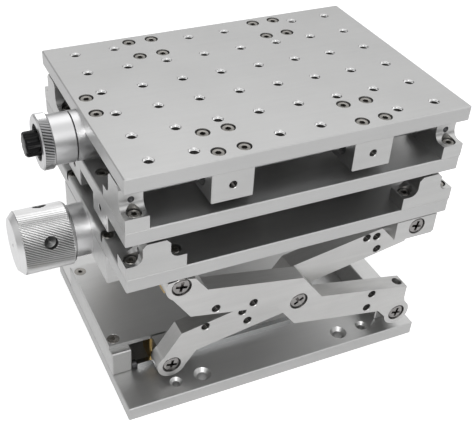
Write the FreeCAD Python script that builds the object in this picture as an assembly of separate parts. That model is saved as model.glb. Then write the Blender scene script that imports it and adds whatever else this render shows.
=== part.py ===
"""Hand-driven x-y-z positioning table: scissor lift, two crossed shaft slides, tapped table.

Millimetres. X runs along the long side, Y to the back, Z up. The origin is on the underside of
the base, below the middle of the table. The table stands a little above half of its lift.
"""
import FreeCAD, Part
import math
import os

Vector = FreeCAD.Vector
os.makedirs("parts", exist_ok=True)

# Plates
plate_length = 210.0
plate_width = 150.0
base_length = 206.0
base_thickness = 10.0
stage_thickness = 9.5
edge_chamfer = 0.6
lift_gap = 94.0
y_gap = 22.0
x_gap = 24.0

# Scissor
lower_pivot_height = 14.5
upper_pivot_drop = 6.2
fixed_pivot_inset = 20.2
slide_end_clearance = 0.415
arm_thickness = 11.5
arm_face_inset = 0.5
arm_gap = 0.3
lobe_radius = 9.4
lowest_angle = 10.7
highest_angle = 32.1
edge_hole_inset = 10.0
edge_hole_floor = 12.0
edge_hole_radius = 2.7
arm_hole_radius = 2.1

# Pivot screws
pivot_head_radius = 5.7
pivot_head_height = 3.0
pivot_shoulder_radius = 4.0
pivot_thread_radius = 3.0
pivot_thread_length = 9.0
running_clearance = 0.05
head_clearance = 0.4
face_clearance = 0.1

# Crossed slides
shaft_radius = 3.0
shaft_seat_depth = 10.0
block_length = 25.0
block_width = 30.0
x_block_height = 20.0
y_block_height = 18.0
x_block_x = 43.5
y_block_y = 24.5
block_bolt_along = 15.0
block_bolt_across = 20.0
block_side_hole_radius = 1.7
block_side_hole_depth = 6.0
bush_radius = 6.0
bush_length = 19.0
support_thickness = 13.5
support_foot_width = 35.0
support_foot_height = 8.5
support_tower_width = 16.0
support_head_gap = 0.9
support_fillet = 5.0
support_chamfer = 2.5
support_bolt_pitch = 25.0
set_screw_radius = 1.9

# Cap screws, M4
cap_head_radius = 3.5
cap_head_height = 4.0
cap_sunk = 0.5
cap_shank_radius = 2.0
cap_clear_radius = 2.3
cap_counterbore_radius = 4.2
cap_thread_length = 8.0
thread_gap = 0.02

# Table holes, M5
hole_pitch = 25.0
hole_columns = 8
hole_rows = 6
table_hole_radius = 2.1

# Slide screws and hand knobs
screw_radius = 4.0
nut_radius = 6.0
nut_bracket_length = 16.0
nut_bracket_width = 30.0
bracket_head_gap = 0.5
x_screw_drop = 7.6
y_screw_drop = 7.7
housing_radius = 14.5
y_housing_radius = 13.9
housing_under_plate = 15.0
x_sleeve_length = 4.7
y_sleeve_length = 10.0
barrel_length = 12.6
y_barrel_length = 14.0
knob_gap = 0.4
ring_radius = 16.0
ring_length = 6.8
ring_recess_radius = 10.5
ring_recess_depth = 2.5
thumb_radius = 7.3
thumb_length = 9.9
thumb_stem_radius = 2.5
thumb_flutes = 8
flute_radius = 1.7
flute_lift = 0.6
flute_start = 2.0
wheel_grip = 14.5
journal_radius = 3.0
housing_bolt_pitch = 18.0
y_housing_bolt_pitch = 16.0
x_screw_reach = 46.0
y_screw_reach = 34.0

# Lift screw and its knob
z_screw_drop = 9.0
z_screw_radius = 6.0
z_nut_radius = 7.7
z_journal_radius = 5.0
z_screw_end_x = -50.0
z_panel_thickness = 8.0
z_panel_width = 82.0
panel_bolt_inset = 8.0
flange_bolt_y = 10.5
z_panel_height = 20.7
z_flange_radius = 16.2
z_flange_length = 10.0
z_knob_gap = 0.3
z_knob_grip = 25.0
z_knob_radius = 19.5
z_knob_length = 34.0
z_knob_chamfer = 3.4
z_knob_back_chamfer = 1.4
tommy_radius = 4.0
tommy_depth = 9.0
tommy_from_end = 19.3
tommy_first_angle = 64.0
tommy_count = 4
z_centre_hole_radius = 1.5
z_centre_hole_depth = 4.0

# Crossheads
crosshead_length = 11.0
crosshead_end_inset = 0.2
stub_depth = 13.5
nut_block_length = 18.0
nut_block_half_width = 46.0
upper_block_depth = 18.0
shoe_length = 12.0
slide_gap = 0.3
lower_shoe_width = 12.0
lower_shoe_gap = 1.5
lower_bar_height = 10.2
lower_bar_length = 10.0
lower_end_top = 30.5

# Lift lugs and base pivot bar
lug_left = 15.3
lug_right = 13.7
lug_height = 14.5
lug_chamfer = 1.5
lug_bolt_offset = 8.0
pivot_bar_width = 14.0
pivot_bar_height = 19.5

# Base fittings
end_block_length = 13.0
end_block_half_width = 45.0
end_block_height = 18.0
cover_thickness = 3.0
cover_half_width = 40.0
cover_right_x = -45.0
cover_screw_x = 4.5
cover_screw_y = 34.5
cover_sink_radius = 4.0
rail_height = 4.0
rail_width = 3.5
rail_end_x = 22.0
rail_start_gap = 0.6
rail_groove_depth = 1.0
block_screw_y = 20.0
bar_screw_y = 30.0
base_bolt_x = 50.0
base_small_x = 68.0
base_bolt_y = 64.5
base_bolt_radius = 3.3
base_bolt_sink_radius = 5.6
base_small_radius = 2.25
base_small_sink_radius = 4.1
stop_head_radius = 2.75
stop_head_length = 3.0
stop_shank_radius = 1.5
stop_shank_length = 6.0
stop_inset = 2.0

# Levels and places that follow from the sizes above
base_top = base_thickness
base_left = -plate_length / 2
base_right = base_left + base_length
base_middle_x = (base_left + base_right) / 2
lift_bottom = base_top + lift_gap
lift_top = lift_bottom + stage_thickness
middle_bottom = lift_top + y_gap
middle_top = middle_bottom + stage_thickness
table_bottom = middle_top + x_gap
table_top = table_bottom + stage_thickness
half_length = plate_length / 2
half_width = plate_width / 2
shaft_x = half_length - support_foot_width / 2
shaft_y = half_width - support_foot_width / 2

lower_pivot_z = base_top + lower_pivot_height
upper_pivot_z = lift_bottom - upper_pivot_drop
rest_rise = upper_pivot_z - lower_pivot_z
fixed_pivot_x = half_length - fixed_pivot_inset
lowest_slide_x = base_left + end_block_length + slide_end_clearance + shoe_length / 2
arm_span = (fixed_pivot_x - lowest_slide_x) / math.cos(math.radians(lowest_angle))
rest_angle = math.asin(rest_rise / arm_span)
slide_pivot_x = fixed_pivot_x - arm_span * math.cos(rest_angle)
centre_x = (fixed_pivot_x + slide_pivot_x) / 2
centre_z = (lower_pivot_z + upper_pivot_z) / 2

outer_face = half_width - arm_face_inset
outer_back = outer_face - arm_thickness
inner_face = outer_back - arm_gap
inner_back = inner_face - arm_thickness

x_shaft_z = table_bottom - x_block_height / 2
y_shaft_z = middle_bottom - y_block_height / 2
x_screw_z = table_bottom - x_screw_drop
y_screw_z = middle_bottom - y_screw_drop
z_screw_z = lift_bottom - z_screw_drop
support_middle = half_length - support_thickness / 2
y_support_middle = half_width - support_thickness / 2
cover_top = base_top + end_block_height + cover_thickness

ALONG = {"x": Vector(1, 0, 0), "y": Vector(0, 1, 0), "z": Vector(0, 0, 1)}


def box(x0, x1, y0, y1, z0, z1):
    """A block between two corners, given in either order."""
    low = Vector(min(x0, x1), min(y0, y1), min(z0, z1))
    return Part.makeBox(abs(x1 - x0), abs(y1 - y0), abs(z1 - z0), low)


def rod(axis, x, y, z, length, radius):
    """A round bar from a point along an axis; a negative length runs the other way."""
    direction = ALONG[axis] * (1 if length > 0 else -1)
    return Part.makeCylinder(radius, abs(length), Vector(x, y, z), direction)


def cone(axis, x, y, z, length, radius_start, radius_end):
    """A cone frustum from a point along an axis."""
    direction = ALONG[axis] * (1 if length > 0 else -1)
    return Part.makeCone(radius_start, radius_end, abs(length), Vector(x, y, z), direction)


def joined(solids):
    """One solid made of several that touch or overlap."""
    shape = solids[0].fuse(solids[1:]) if len(solids) > 1 else solids[0]
    return shape.removeSplitter()


def chamfered(block, size):
    return block.makeChamfer(size, block.Edges)


def profile_solid(points, start, along):
    """A closed outline of straight edges, moved to a start point and pushed along a vector."""
    outline = Part.makePolygon([start + point for point in points + points[:1]])
    return Part.Face(outline).extrude(along)


def turned(profile, axis, x, y, z):
    """A turned part: profile holds (distance along the axis, radius) from end to end."""
    ring = [Vector(along, 0, radius) for along, radius in profile]
    face = Part.Face(Part.makePolygon(ring + ring[:1]))
    solid = face.revolve(Vector(0, 0, 0), Vector(1, 0, 0), 360)
    if axis == "y":
        solid.rotate(Vector(0, 0, 0), Vector(0, 0, 1), 90)
    solid.translate(Vector(x, y, z))
    return solid


def both_sides(shape):
    """The shape and its mirror image across the X-Z plane."""
    return [shape, shape.mirror(Vector(0, 0, 0), Vector(0, 1, 0))]


def save(name, solids):
    """Write one node: a single solid, or a group of like solids."""
    if not isinstance(solids, list):
        solids = [solids]
    shape = solids[0] if len(solids) == 1 else Part.makeCompound(solids)
    shape.exportStep("parts/" + name + ".step")


def plate(x0, x1, z0, thickness):
    return chamfered(box(x0, x1, -half_width, half_width, z0, z0 + thickness), edge_chamfer)


def cap_screw(x, y, seat_z, shank_length):
    """M4 socket cap screw standing head up, its head resting at seat_z."""
    head = rod("z", x, y, seat_z, cap_head_height, cap_head_radius)
    shank = rod("z", x, y, seat_z, -shank_length, cap_shank_radius - thread_gap)
    return joined([head, shank])


def cap_hole(x, y, seat_z, top_z, bottom_z):
    """Counterbore and clearance hole for a cap screw through a plate."""
    counterbore = rod("z", x, y, seat_z, top_z - seat_z + 1, cap_counterbore_radius)
    through = rod("z", x, y, bottom_z - 1, seat_z - bottom_z + 2, cap_clear_radius)
    return [counterbore, through]


def tapped_hole(x, y, top_z, depth, radius=cap_shank_radius):
    """Blind tapped hole going down from a face."""
    return rod("z", x, y, top_z, -depth, radius)


def pivot_screw(y_head, y_seat_end, y_thread_end, x, z):
    """Shouldered pan-head screw on the front side, its head flush with y_head."""
    head = rod("y", x, y_head, z, pivot_head_height, pivot_head_radius)
    shoulder_length = y_seat_end - y_head - pivot_head_height
    shoulder = rod("y", x, y_head + pivot_head_height, z, shoulder_length, pivot_shoulder_radius)
    thread = rod("y", x, y_seat_end, z, y_thread_end - y_seat_end, pivot_thread_radius - thread_gap)
    return joined([head, shoulder, thread])


def pivot_eye(y_face, y_back, x, z):
    """What a turning arm needs round a pivot screw: counterbore and running bore."""
    head_room = pivot_head_height + 2 * face_clearance
    counterbore = rod("y", x, y_face - 1, z, head_room + 1, pivot_head_radius + head_clearance)
    length = y_back - y_face + 2
    bore = rod("y", x, y_face - 1, z, length, pivot_shoulder_radius + running_clearance)
    return [counterbore, bore]


# Table plate with its grid of tapped holes; the four holes by the block screws are left out
block_screw_seat = table_top - cap_sunk - cap_head_height
table_screw_places = []
for side_x in (-1, 1):
    for side_y in (-1, 1):
        for step_x in (-1, 1):
            for step_y in (-1, 1):
                screw_x = side_x * x_block_x + step_x * block_bolt_along / 2
                screw_y = side_y * shaft_y + step_y * block_bolt_across / 2
                table_screw_places.append((screw_x, screw_y))
housing_screw_x = -half_length + housing_under_plate / 2
for side_y in (-1, 1):
    table_screw_places.append((housing_screw_x, side_y * housing_bolt_pitch / 2))

table = plate(-half_length, half_length, table_bottom, stage_thickness)
table_cuts = []
for column in range(hole_columns):
    for row in range(hole_rows):
        hole_x = (column - (hole_columns - 1) / 2) * hole_pitch
        hole_y = (row - (hole_rows - 1) / 2) * hole_pitch
        if abs(hole_x) == 1.5 * hole_pitch and abs(hole_y) == 2.5 * hole_pitch:
            continue
        through = stage_thickness + 2
        table_cuts.append(rod("z", hole_x, hole_y, table_bottom - 1, through, table_hole_radius))
for screw_x, screw_y in table_screw_places:
    table_cuts += cap_hole(screw_x, screw_y, block_screw_seat, table_top, table_bottom)
save("top_plate", table.cut(table_cuts))

table_grip = block_screw_seat - table_bottom + cap_thread_length
table_screws = [cap_screw(x, y, block_screw_seat, table_grip) for x, y in table_screw_places]
save("top_plate_screws", table_screws)


def bearing_block(height):
    """Bearing block along X under a plate: origin at the middle of its top face, bush bore."""
    block = box(-block_length / 2, block_length / 2, -block_width / 2, block_width / 2, -height, 0)
    block = chamfered(block, edge_chamfer)
    cuts = [rod("x", -block_length, 0, -height / 2, 2 * block_length, bush_radius)]
    for step_x in (-1, 1):
        for step_y in (-1, 1):
            place = (step_x * block_bolt_along / 2, step_y * block_bolt_across / 2)
            cuts.append(tapped_hole(*place, 0, cap_thread_length + 1))
    for step_y in (-1, 1):
        start_y = step_y * block_width / 2
        depth = -step_y * block_side_hole_depth
        cuts.append(rod("y", 0, start_y, -height / 2, depth, block_side_hole_radius))
    return block.cut(cuts)


def bush(axis, x, y, z):
    """Linear bush pressed into a bearing block."""
    inner = shaft_radius + running_clearance
    outer = bush_radius - thread_gap
    half = bush_length / 2
    return turned([(-half, inner), (-half, outer), (half, outer), (half, inner)], axis, x, y, z)


def end_support(gap):
    """End support of a shaft along X: foot on a plate, tower with the shaft's blind seat.

    Its origin is at the middle of the foot's underside; the seat opens towards +X.
    """
    foot = support_foot_width / 2
    tower = support_tower_width / 2
    top = gap - support_head_gap
    points = [(-foot, 0), (foot, 0), (foot, support_foot_height), (tower, support_foot_height),
              (tower, top - support_chamfer), (tower - support_chamfer, top),
              (support_chamfer - tower, top), (-tower, top - support_chamfer),
              (-tower, support_foot_height), (-foot, support_foot_height)]
    outline = [Vector(0, y, z) for y, z in points]
    length = Vector(support_thickness, 0, 0)
    body = profile_solid(outline, Vector(-support_thickness / 2, 0, 0), length)
    roots = [edge for edge in body.Edges if is_tower_root(edge, tower)]
    return body.makeFillet(support_fillet, roots)


def is_tower_root(edge, tower):
    """The two edges where the tower meets the foot."""
    middle = edge.CenterOfMass
    on_foot = abs(middle.z - support_foot_height) < 0.01
    return on_foot and abs(abs(middle.y) - tower) < 0.01 and abs(edge.Length - support_thickness) < 0.01


def support_cuts(shaft_height):
    """Seat of the shaft, foot screw holes and the set screw hole, in the support's own frame."""
    seat_start = support_thickness / 2 - shaft_seat_depth
    cuts = [rod("x", seat_start, 0, shaft_height, shaft_seat_depth + 1, shaft_radius)]
    screw_floor = support_foot_height - cap_head_height - cap_sunk
    for step_y in (-1, 1):
        bolt_y = step_y * support_bolt_pitch / 2
        cuts += cap_hole(0, bolt_y, screw_floor, support_foot_height + support_fillet, 0)
    cuts.append(rod("y", 0, -support_tower_width, shaft_height, support_tower_width, set_screw_radius))
    return cuts


def placed(shape, angle, x, y, z):
    """A copy turned about Z, then moved."""
    copy = shape.copy()
    copy.rotate(Vector(0, 0, 0), Vector(0, 0, 1), angle)
    copy.translate(Vector(x, y, z))
    return copy


# X slide: blocks and bushes under the table, shafts and supports on the middle plate
x_block = bearing_block(x_block_height)
x_block_places = [(sx * x_block_x, sy * shaft_y) for sx in (-1, 1) for sy in (-1, 1)]
save("x_bearing_blocks", [placed(x_block, 0, x, y, table_bottom) for x, y in x_block_places])
save("x_bushes", [bush("x", x, y, x_shaft_z) for x, y in x_block_places])

x_shaft_half = half_length - support_thickness + shaft_seat_depth
x_shaft = rod("x", -x_shaft_half, shaft_y, x_shaft_z, 2 * x_shaft_half, shaft_radius - thread_gap)
save("x_shafts", both_sides(x_shaft))

x_support = end_support(x_gap)
x_support = x_support.cut(support_cuts(x_shaft_z - middle_top))
x_support_mirrored = x_support.mirror(Vector(0, 0, 0), Vector(0, 1, 0))
x_supports = []
for side_y, shape in ((-1, x_support), (1, x_support_mirrored)):
    x_supports.append(placed(shape, 0, -support_middle, side_y * shaft_y, middle_top))
    other_end = shape.mirror(Vector(0, 0, 0), Vector(1, 0, 0))
    x_supports.append(placed(other_end, 0, support_middle, side_y * shaft_y, middle_top))
save("x_shaft_supports", x_supports)

# Y slide: the same, a quarter turn round, between the middle plate and the lift plate
y_block = bearing_block(y_block_height)
y_block_places = [(sx * shaft_x, sy * y_block_y) for sx in (-1, 1) for sy in (-1, 1)]
save("y_bearing_blocks", [placed(y_block, 90, x, y, middle_bottom) for x, y in y_block_places])
save("y_bushes", [bush("y", x, y, y_shaft_z) for x, y in y_block_places])

y_shaft_half = half_width - support_thickness + shaft_seat_depth
y_shafts = []
for side_x in (-1, 1):
    start = (side_x * shaft_x, -y_shaft_half, y_shaft_z)
    y_shafts.append(rod("y", *start, 2 * y_shaft_half, shaft_radius - thread_gap))
save("y_shafts", y_shafts)

y_support = end_support(y_gap)
y_support = y_support.cut(support_cuts(y_shaft_z - lift_top))
y_support_mirrored = y_support.mirror(Vector(0, 0, 0), Vector(0, 1, 0))
y_supports = []
for side_x, front, back in ((-1, y_support_mirrored, y_support), (1, y_support, y_support_mirrored)):
    y_supports.append(placed(front, 90, side_x * shaft_x, -y_support_middle, lift_top))
    y_supports.append(placed(back, -90, side_x * shaft_x, y_support_middle, lift_top))
save("y_shaft_supports", y_supports)


def set_screws(centres):
    """Headless set screws that hold the shafts; each bears on its shaft from the outer side."""
    screws = []
    length = support_tower_width / 2 - shaft_radius - 1
    for x, y, z, axis, sign in centres:
        start = shaft_radius
        if axis == "y":
            screws.append(rod("y", x, y + sign * start, z, sign * length, set_screw_radius - thread_gap))
        else:
            screws.append(rod("x", x + sign * start, y, z, sign * length, set_screw_radius - thread_gap))
    return screws


x_set = [(sx * support_middle, sy * shaft_y, x_shaft_z, "y", sy) for sx in (-1, 1) for sy in (-1, 1)]
y_set = [(sx * shaft_x, sy * y_support_middle, y_shaft_z, "x", sx) for sx in (-1, 1) for sy in (-1, 1)]
save("x_support_set_screws", set_screws(x_set))
save("y_support_set_screws", set_screws(y_set))

# Foot screws: heads sunk in the support feet, threads in the plate below
foot_seat = support_foot_height - cap_head_height - cap_sunk
x_foot_places = []
y_foot_places = []
for side_x in (-1, 1):
    for side_y in (-1, 1):
        for step in (-1, 1):
            offset = step * support_bolt_pitch / 2
            x_foot_places.append((side_x * support_middle, side_y * shaft_y + offset))
            y_foot_places.append((side_x * shaft_x + offset, side_y * y_support_middle))

# Middle plate: carries the X shafts above and the Y blocks below
middle_seat = middle_top - cap_sunk - cap_head_height
middle_grip = middle_seat - middle_bottom + cap_thread_length
middle_screw_places = []
for block_x, block_y in y_block_places:
    for step_x in (-1, 1):
        for step_y in (-1, 1):
            screw_x = block_x + step_x * block_bolt_across / 2
            screw_y = block_y + step_y * block_bolt_along / 2
            middle_screw_places.append((screw_x, screw_y))
housing_screw_y = half_width - housing_under_plate / 2
for side_x in (-1, 1):
    middle_screw_places.append((side_x * y_housing_bolt_pitch / 2, housing_screw_y))

bracket_bolt_y = nut_bracket_width / 2 - 4.5
middle = plate(-half_length, half_length, middle_bottom, stage_thickness)
middle_cuts = []
for screw_x, screw_y in middle_screw_places:
    middle_cuts += cap_hole(screw_x, screw_y, middle_seat, middle_top, middle_bottom)
for screw_x, screw_y in x_foot_places:
    middle_cuts.append(tapped_hole(screw_x, screw_y, middle_top, cap_thread_length))
middle_bracket_places = [(0, side_y * bracket_bolt_y) for side_y in (-1, 1)]
bracket_screw_seat = middle_bottom + cap_sunk + cap_head_height
for screw_x, screw_y in middle_bracket_places:
    middle_cuts.append(rod("z", screw_x, screw_y, bracket_screw_seat, -cap_head_height - 2, cap_counterbore_radius))
    middle_cuts.append(rod("z", screw_x, screw_y, middle_bottom - 1, stage_thickness + 2, cap_clear_radius))
save("middle_plate", middle.cut(middle_cuts))

middle_screws = [cap_screw(x, y, middle_seat, middle_grip) for x, y in middle_screw_places]
foot_grip = foot_seat + cap_thread_length - 0.5
middle_screws += [cap_screw(x, y, middle_top + foot_seat, foot_grip) for x, y in x_foot_places]


def hanging_screw(x, y, seat_z, shank_length):
    """Cap screw put in from below, its head hanging under seat_z."""
    head = rod("z", x, y, seat_z, -cap_head_height, cap_head_radius)
    shank = rod("z", x, y, seat_z, shank_length, cap_shank_radius - thread_gap)
    return joined([head, shank])


bracket_grip = stage_thickness - cap_sunk - cap_head_height + cap_thread_length
middle_screws += [hanging_screw(x, y, bracket_screw_seat, bracket_grip) for x, y in middle_bracket_places]
save("middle_plate_screws", middle_screws)


def nut_bracket(axis, bottom_z, screw_z, top_z):
    """Block that holds a slide nut: feet on a plate, a bore for the nut along the axis."""
    half = nut_bracket_length / 2
    side = nut_bracket_width / 2
    block = chamfered(box(-half, half, -side, side, bottom_z, top_z), edge_chamfer)
    cuts = [rod("x", -half - 1, 0, screw_z, nut_bracket_length + 2, nut_radius)]
    for side_y in (-1, 1):
        depth = cap_thread_length + 1
        cuts.append(rod("z", 0, side_y * bracket_bolt_y, bottom_z, depth, cap_shank_radius))
    block = block.cut(cuts)
    return placed(block, 90 if axis == "y" else 0, 0, 0, 0)


def slide_nut(axis, screw_z):
    half = nut_bracket_length / 2 + 1.5
    inner = screw_radius + running_clearance
    outer = nut_radius - thread_gap
    return turned([(-half, inner), (-half, outer), (half, outer), (half, inner)], axis, 0, 0, screw_z)


save("x_nut_bracket", nut_bracket("x", middle_top, x_screw_z, table_bottom - bracket_head_gap))
save("x_nut", slide_nut("x", x_screw_z))
save("y_nut_bracket", nut_bracket("y", lift_top, y_screw_z, middle_bottom - bracket_head_gap))
save("y_nut", slide_nut("y", y_screw_z))


def foot_screw(x, y, floor_z, grip):
    """Screw of a support foot standing on a plate whose top is at floor_z."""
    return cap_screw(x, y, floor_z + foot_seat, foot_seat + grip)


# Lift plate: carries the Y shafts above, the lift screw's panel and the lugs below
lift_seat = lift_top - cap_sunk - cap_head_height
lift_grip = lift_seat - lift_bottom + cap_thread_length
lug_x0 = fixed_pivot_x - lug_left
lug_x1 = fixed_pivot_x + lug_right
panel_x1 = -half_length + z_panel_thickness
panel_bolt_x = (-half_length + panel_x1) / 2
panel_bolt_y = z_panel_width / 2 - panel_bolt_inset
lug_bolt_x = fixed_pivot_x + lug_bolt_offset
lug_screw_places = [(lug_bolt_x, side_y * y_support_middle) for side_y in (-1, 1)]
panel_screw_places = [(panel_bolt_x, side_y * panel_bolt_y) for side_y in (-1, 1)]
lift_bracket_places = [(side_x * bracket_bolt_y, 0) for side_x in (-1, 1)]
lift_bracket_seat = lift_bottom + cap_sunk + cap_head_height

lift = plate(-half_length, half_length, lift_bottom, stage_thickness)
lift_cuts = []
lift_screws = []
for screw_x, screw_y in lug_screw_places + panel_screw_places:
    lift_cuts += cap_hole(screw_x, screw_y, lift_seat, lift_top, lift_bottom)
    lift_screws.append(cap_screw(screw_x, screw_y, lift_seat, lift_grip))
for screw_x, screw_y in y_foot_places:
    if lug_x0 < screw_x < lug_x1:
        lift_cuts.append(rod("z", screw_x, screw_y, lift_bottom - 1, stage_thickness + 2, cap_clear_radius))
        lift_screws.append(foot_screw(screw_x, screw_y, lift_top, stage_thickness + cap_thread_length))
    else:
        lift_cuts.append(tapped_hole(screw_x, screw_y, lift_top, cap_thread_length))
        lift_screws.append(foot_screw(screw_x, screw_y, lift_top, cap_thread_length - 0.5))
for screw_x, screw_y in lift_bracket_places:
    head_room = -cap_head_height - 2
    lift_cuts.append(rod("z", screw_x, screw_y, lift_bracket_seat, head_room, cap_counterbore_radius))
    lift_cuts.append(rod("z", screw_x, screw_y, lift_bottom - 1, stage_thickness + 2, cap_clear_radius))
    lift_screws.append(hanging_screw(screw_x, screw_y, lift_bracket_seat, bracket_grip))
save("lift_plate", lift.cut(lift_cuts))
save("lift_plate_screws", lift_screws)

# Lugs under the right end of the lift plate; the inner arms turn on screws through them
lug = box(lug_x0, lug_x1, -half_width, -outer_back - face_clearance, lift_bottom - lug_height, lift_bottom)
lug_corners = [edge for edge in lug.Edges if edge.BoundBox.YLength > 1 and edge.BoundBox.ZMax < lift_bottom - 1]
lug = lug.makeChamfer(lug_chamfer, lug_corners)
lug_head_room = rod("y", fixed_pivot_x, -half_width - 1, upper_pivot_z,
                    pivot_head_height + face_clearance + 1, pivot_head_radius + face_clearance)
lug_bore = rod("y", fixed_pivot_x, -half_width - 1, upper_pivot_z, half_width, pivot_shoulder_radius)
lug_cuts = [lug_head_room, lug_bore]
for screw_x in (lug_bolt_x, shaft_x - support_bolt_pitch / 2):
    lug_cuts.append(tapped_hole(screw_x, -y_support_middle, lift_bottom, cap_thread_length + 1))
save("lift_lugs", both_sides(lug.cut(lug_cuts)))

upper_screw_shoulder = half_width - face_clearance - inner_back - 0.5
upper_pivot_head = rod("y", fixed_pivot_x, -half_width + face_clearance, upper_pivot_z,
                       pivot_head_height, pivot_head_radius)
upper_pivot_pin = rod("y", fixed_pivot_x, -half_width + face_clearance, upper_pivot_z,
                      upper_screw_shoulder, pivot_shoulder_radius - thread_gap)
save("upper_pivot_screws", both_sides(joined([upper_pivot_head, upper_pivot_pin])))

# Lift screw: panel under the plate, flange bolted on its outer face, screw and knob turning in both
panel_bottom = lift_bottom - z_panel_height
panel = box(-half_length, panel_x1, -z_panel_width / 2, z_panel_width / 2, panel_bottom, lift_bottom)
panel = chamfered(panel, edge_chamfer)
z_bore_radius = z_journal_radius + running_clearance
panel_cuts = [rod("x", -half_length - 1, 0, z_screw_z, z_panel_thickness + 2, z_bore_radius)]
for screw_x, screw_y in panel_screw_places:
    panel_cuts.append(tapped_hole(screw_x, screw_y, lift_bottom, cap_thread_length + 1))
flange_end_x = -half_length - z_flange_length
flange_cuts = []
flange_screws = []
flange_seat_x = panel_x1 - cap_sunk - cap_head_height
for side_y in (-1, 1):
    screw_y = side_y * flange_bolt_y
    panel_cuts.append(rod("x", flange_seat_x, screw_y, z_screw_z, cap_head_height + 1, cap_counterbore_radius))
    panel_cuts.append(rod("x", -half_length - 1, screw_y, z_screw_z, z_panel_thickness + 1, cap_clear_radius))
    flange_cuts.append(rod("x", -half_length, screw_y, z_screw_z, -cap_thread_length, cap_shank_radius))
    head = rod("x", flange_seat_x, screw_y, z_screw_z, cap_head_height, cap_head_radius)
    shank_end = -half_length - cap_thread_length + 0.5
    shank = rod("x", flange_seat_x, screw_y, z_screw_z, shank_end - flange_seat_x, cap_shank_radius - thread_gap)
    flange_screws.append(joined([head, shank]))
save("z_bearing_panel", panel.cut(panel_cuts))
flange = turned([(0, z_bore_radius), (0, z_flange_radius), (z_flange_length - edge_chamfer, z_flange_radius),
                 (z_flange_length, z_flange_radius - edge_chamfer), (z_flange_length, z_bore_radius)],
                "x", 0, 0, 0)
flange.rotate(Vector(0, 0, 0), Vector(0, 0, 1), 180)
flange.translate(Vector(-half_length, 0, z_screw_z))
save("z_bearing_flange", flange.cut(flange_cuts))
save("z_flange_screws", flange_screws)

z_knob_x1 = flange_end_x - z_knob_gap
z_knob_x0 = z_knob_x1 - z_knob_length
z_shoulder_x = panel_x1 + face_clearance
z_screw_start_x = z_knob_x1 - z_knob_grip
z_lead_screw = turned([(z_screw_start_x, 0), (z_screw_start_x, z_journal_radius), (z_shoulder_x, z_journal_radius),
                       (z_shoulder_x, z_screw_radius), (z_screw_end_x - 1, z_screw_radius),
                       (z_screw_end_x, z_screw_radius - 1), (z_screw_end_x, 0)], "x", 0, 0, z_screw_z)
save("z_lead_screw", z_lead_screw)
z_knob = turned([(z_knob_x0, 0), (z_knob_x0, z_knob_radius - z_knob_chamfer),
                 (z_knob_x0 + z_knob_chamfer, z_knob_radius), (z_knob_x1 - z_knob_back_chamfer, z_knob_radius),
                 (z_knob_x1, z_knob_radius - z_knob_back_chamfer), (z_knob_x1, 0)], "x", 0, 0, z_screw_z)
z_knob_cuts = [rod("x", z_knob_x1 + 1, 0, z_screw_z, -z_knob_grip - 1.5, z_journal_radius + thread_gap),
               rod("x", z_knob_x0 - 1, 0, z_screw_z, z_centre_hole_depth + 1, z_centre_hole_radius)]
for index in range(tommy_count):
    tommy = rod("z", z_knob_x0 + tommy_from_end, 0, z_knob_radius - tommy_depth, 2 * tommy_depth, tommy_radius)
    tommy.rotate(Vector(0, 0, 0), Vector(1, 0, 0), tommy_first_angle + index * 360 / tommy_count)
    tommy.translate(Vector(0, 0, z_screw_z))
    z_knob_cuts.append(tommy)
save("z_knob", z_knob.cut(z_knob_cuts))


# Slide screws: every piece is drawn along +X from the edge of its plate, then turned into place
def screw_housing(radius, sleeve_length, flat_height, bolt_pitch):
    """Bearing of a slide screw: a flat-topped part under the plate and a round sleeve outside it."""
    inner = rod("x", 0, 0, 0, -housing_under_plate, radius)
    above = box(-housing_under_plate - 1, 0, -radius, radius, flat_height, radius + 1)
    inner = inner.cut(above)
    sleeve = rod("x", 0, 0, 0, sleeve_length, radius)
    housing = joined([inner, sleeve])
    bore_length = housing_under_plate + sleeve_length + 2
    cuts = [rod("x", -housing_under_plate - 1, 0, 0, bore_length, journal_radius + running_clearance)]
    for side_y in (-1, 1):
        bolt_y = side_y * bolt_pitch / 2
        cuts.append(rod("z", -housing_under_plate / 2, bolt_y, flat_height, -cap_thread_length, cap_shank_radius))
    return housing.cut(cuts)


def hand_wheel(start, barrel_radius, length):
    """Smooth barrel with a wider knurled ring at its end, hollow where the thumb screw sits."""
    ring_start = start + length
    end = ring_start + ring_length
    floor = end - ring_recess_depth
    journal_end = start + wheel_grip
    bore = journal_radius + thread_gap
    stem = thumb_stem_radius + thread_gap
    profile = [(start, bore), (start, barrel_radius - edge_chamfer), (start + edge_chamfer, barrel_radius),
               (ring_start, barrel_radius), (ring_start, ring_radius - edge_chamfer),
               (ring_start + edge_chamfer, ring_radius), (end - edge_chamfer, ring_radius),
               (end, ring_radius - edge_chamfer), (end, ring_recess_radius), (floor, ring_recess_radius),
               (floor, stem), (journal_end, stem), (journal_end, bore)]
    return turned(profile, "x", 0, 0, 0)


def thumb_screw(start, length):
    """Fluted locking knob in the end of a hand wheel, its stem in the wheel's bore."""
    floor = start + length + ring_length - ring_recess_depth
    top = floor + thumb_length
    knob = turned([(floor, 0), (floor, thumb_radius), (top - 1, thumb_radius), (top, thumb_radius - 1), (top, 0)],
                  "x", 0, 0, 0)
    flutes = []
    for index in range(thumb_flutes):
        flute = rod("x", floor + flute_start, thumb_radius + flute_lift, 0, thumb_length, flute_radius)
        flute.rotate(Vector(0, 0, 0), Vector(1, 0, 0), index * 360 / thumb_flutes)
        flutes.append(flute)
    stem = rod("x", start + wheel_grip + 0.5, 0, 0, floor - start - wheel_grip - 0.5, thumb_stem_radius)
    return joined([knob.cut(flutes), stem])


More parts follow.
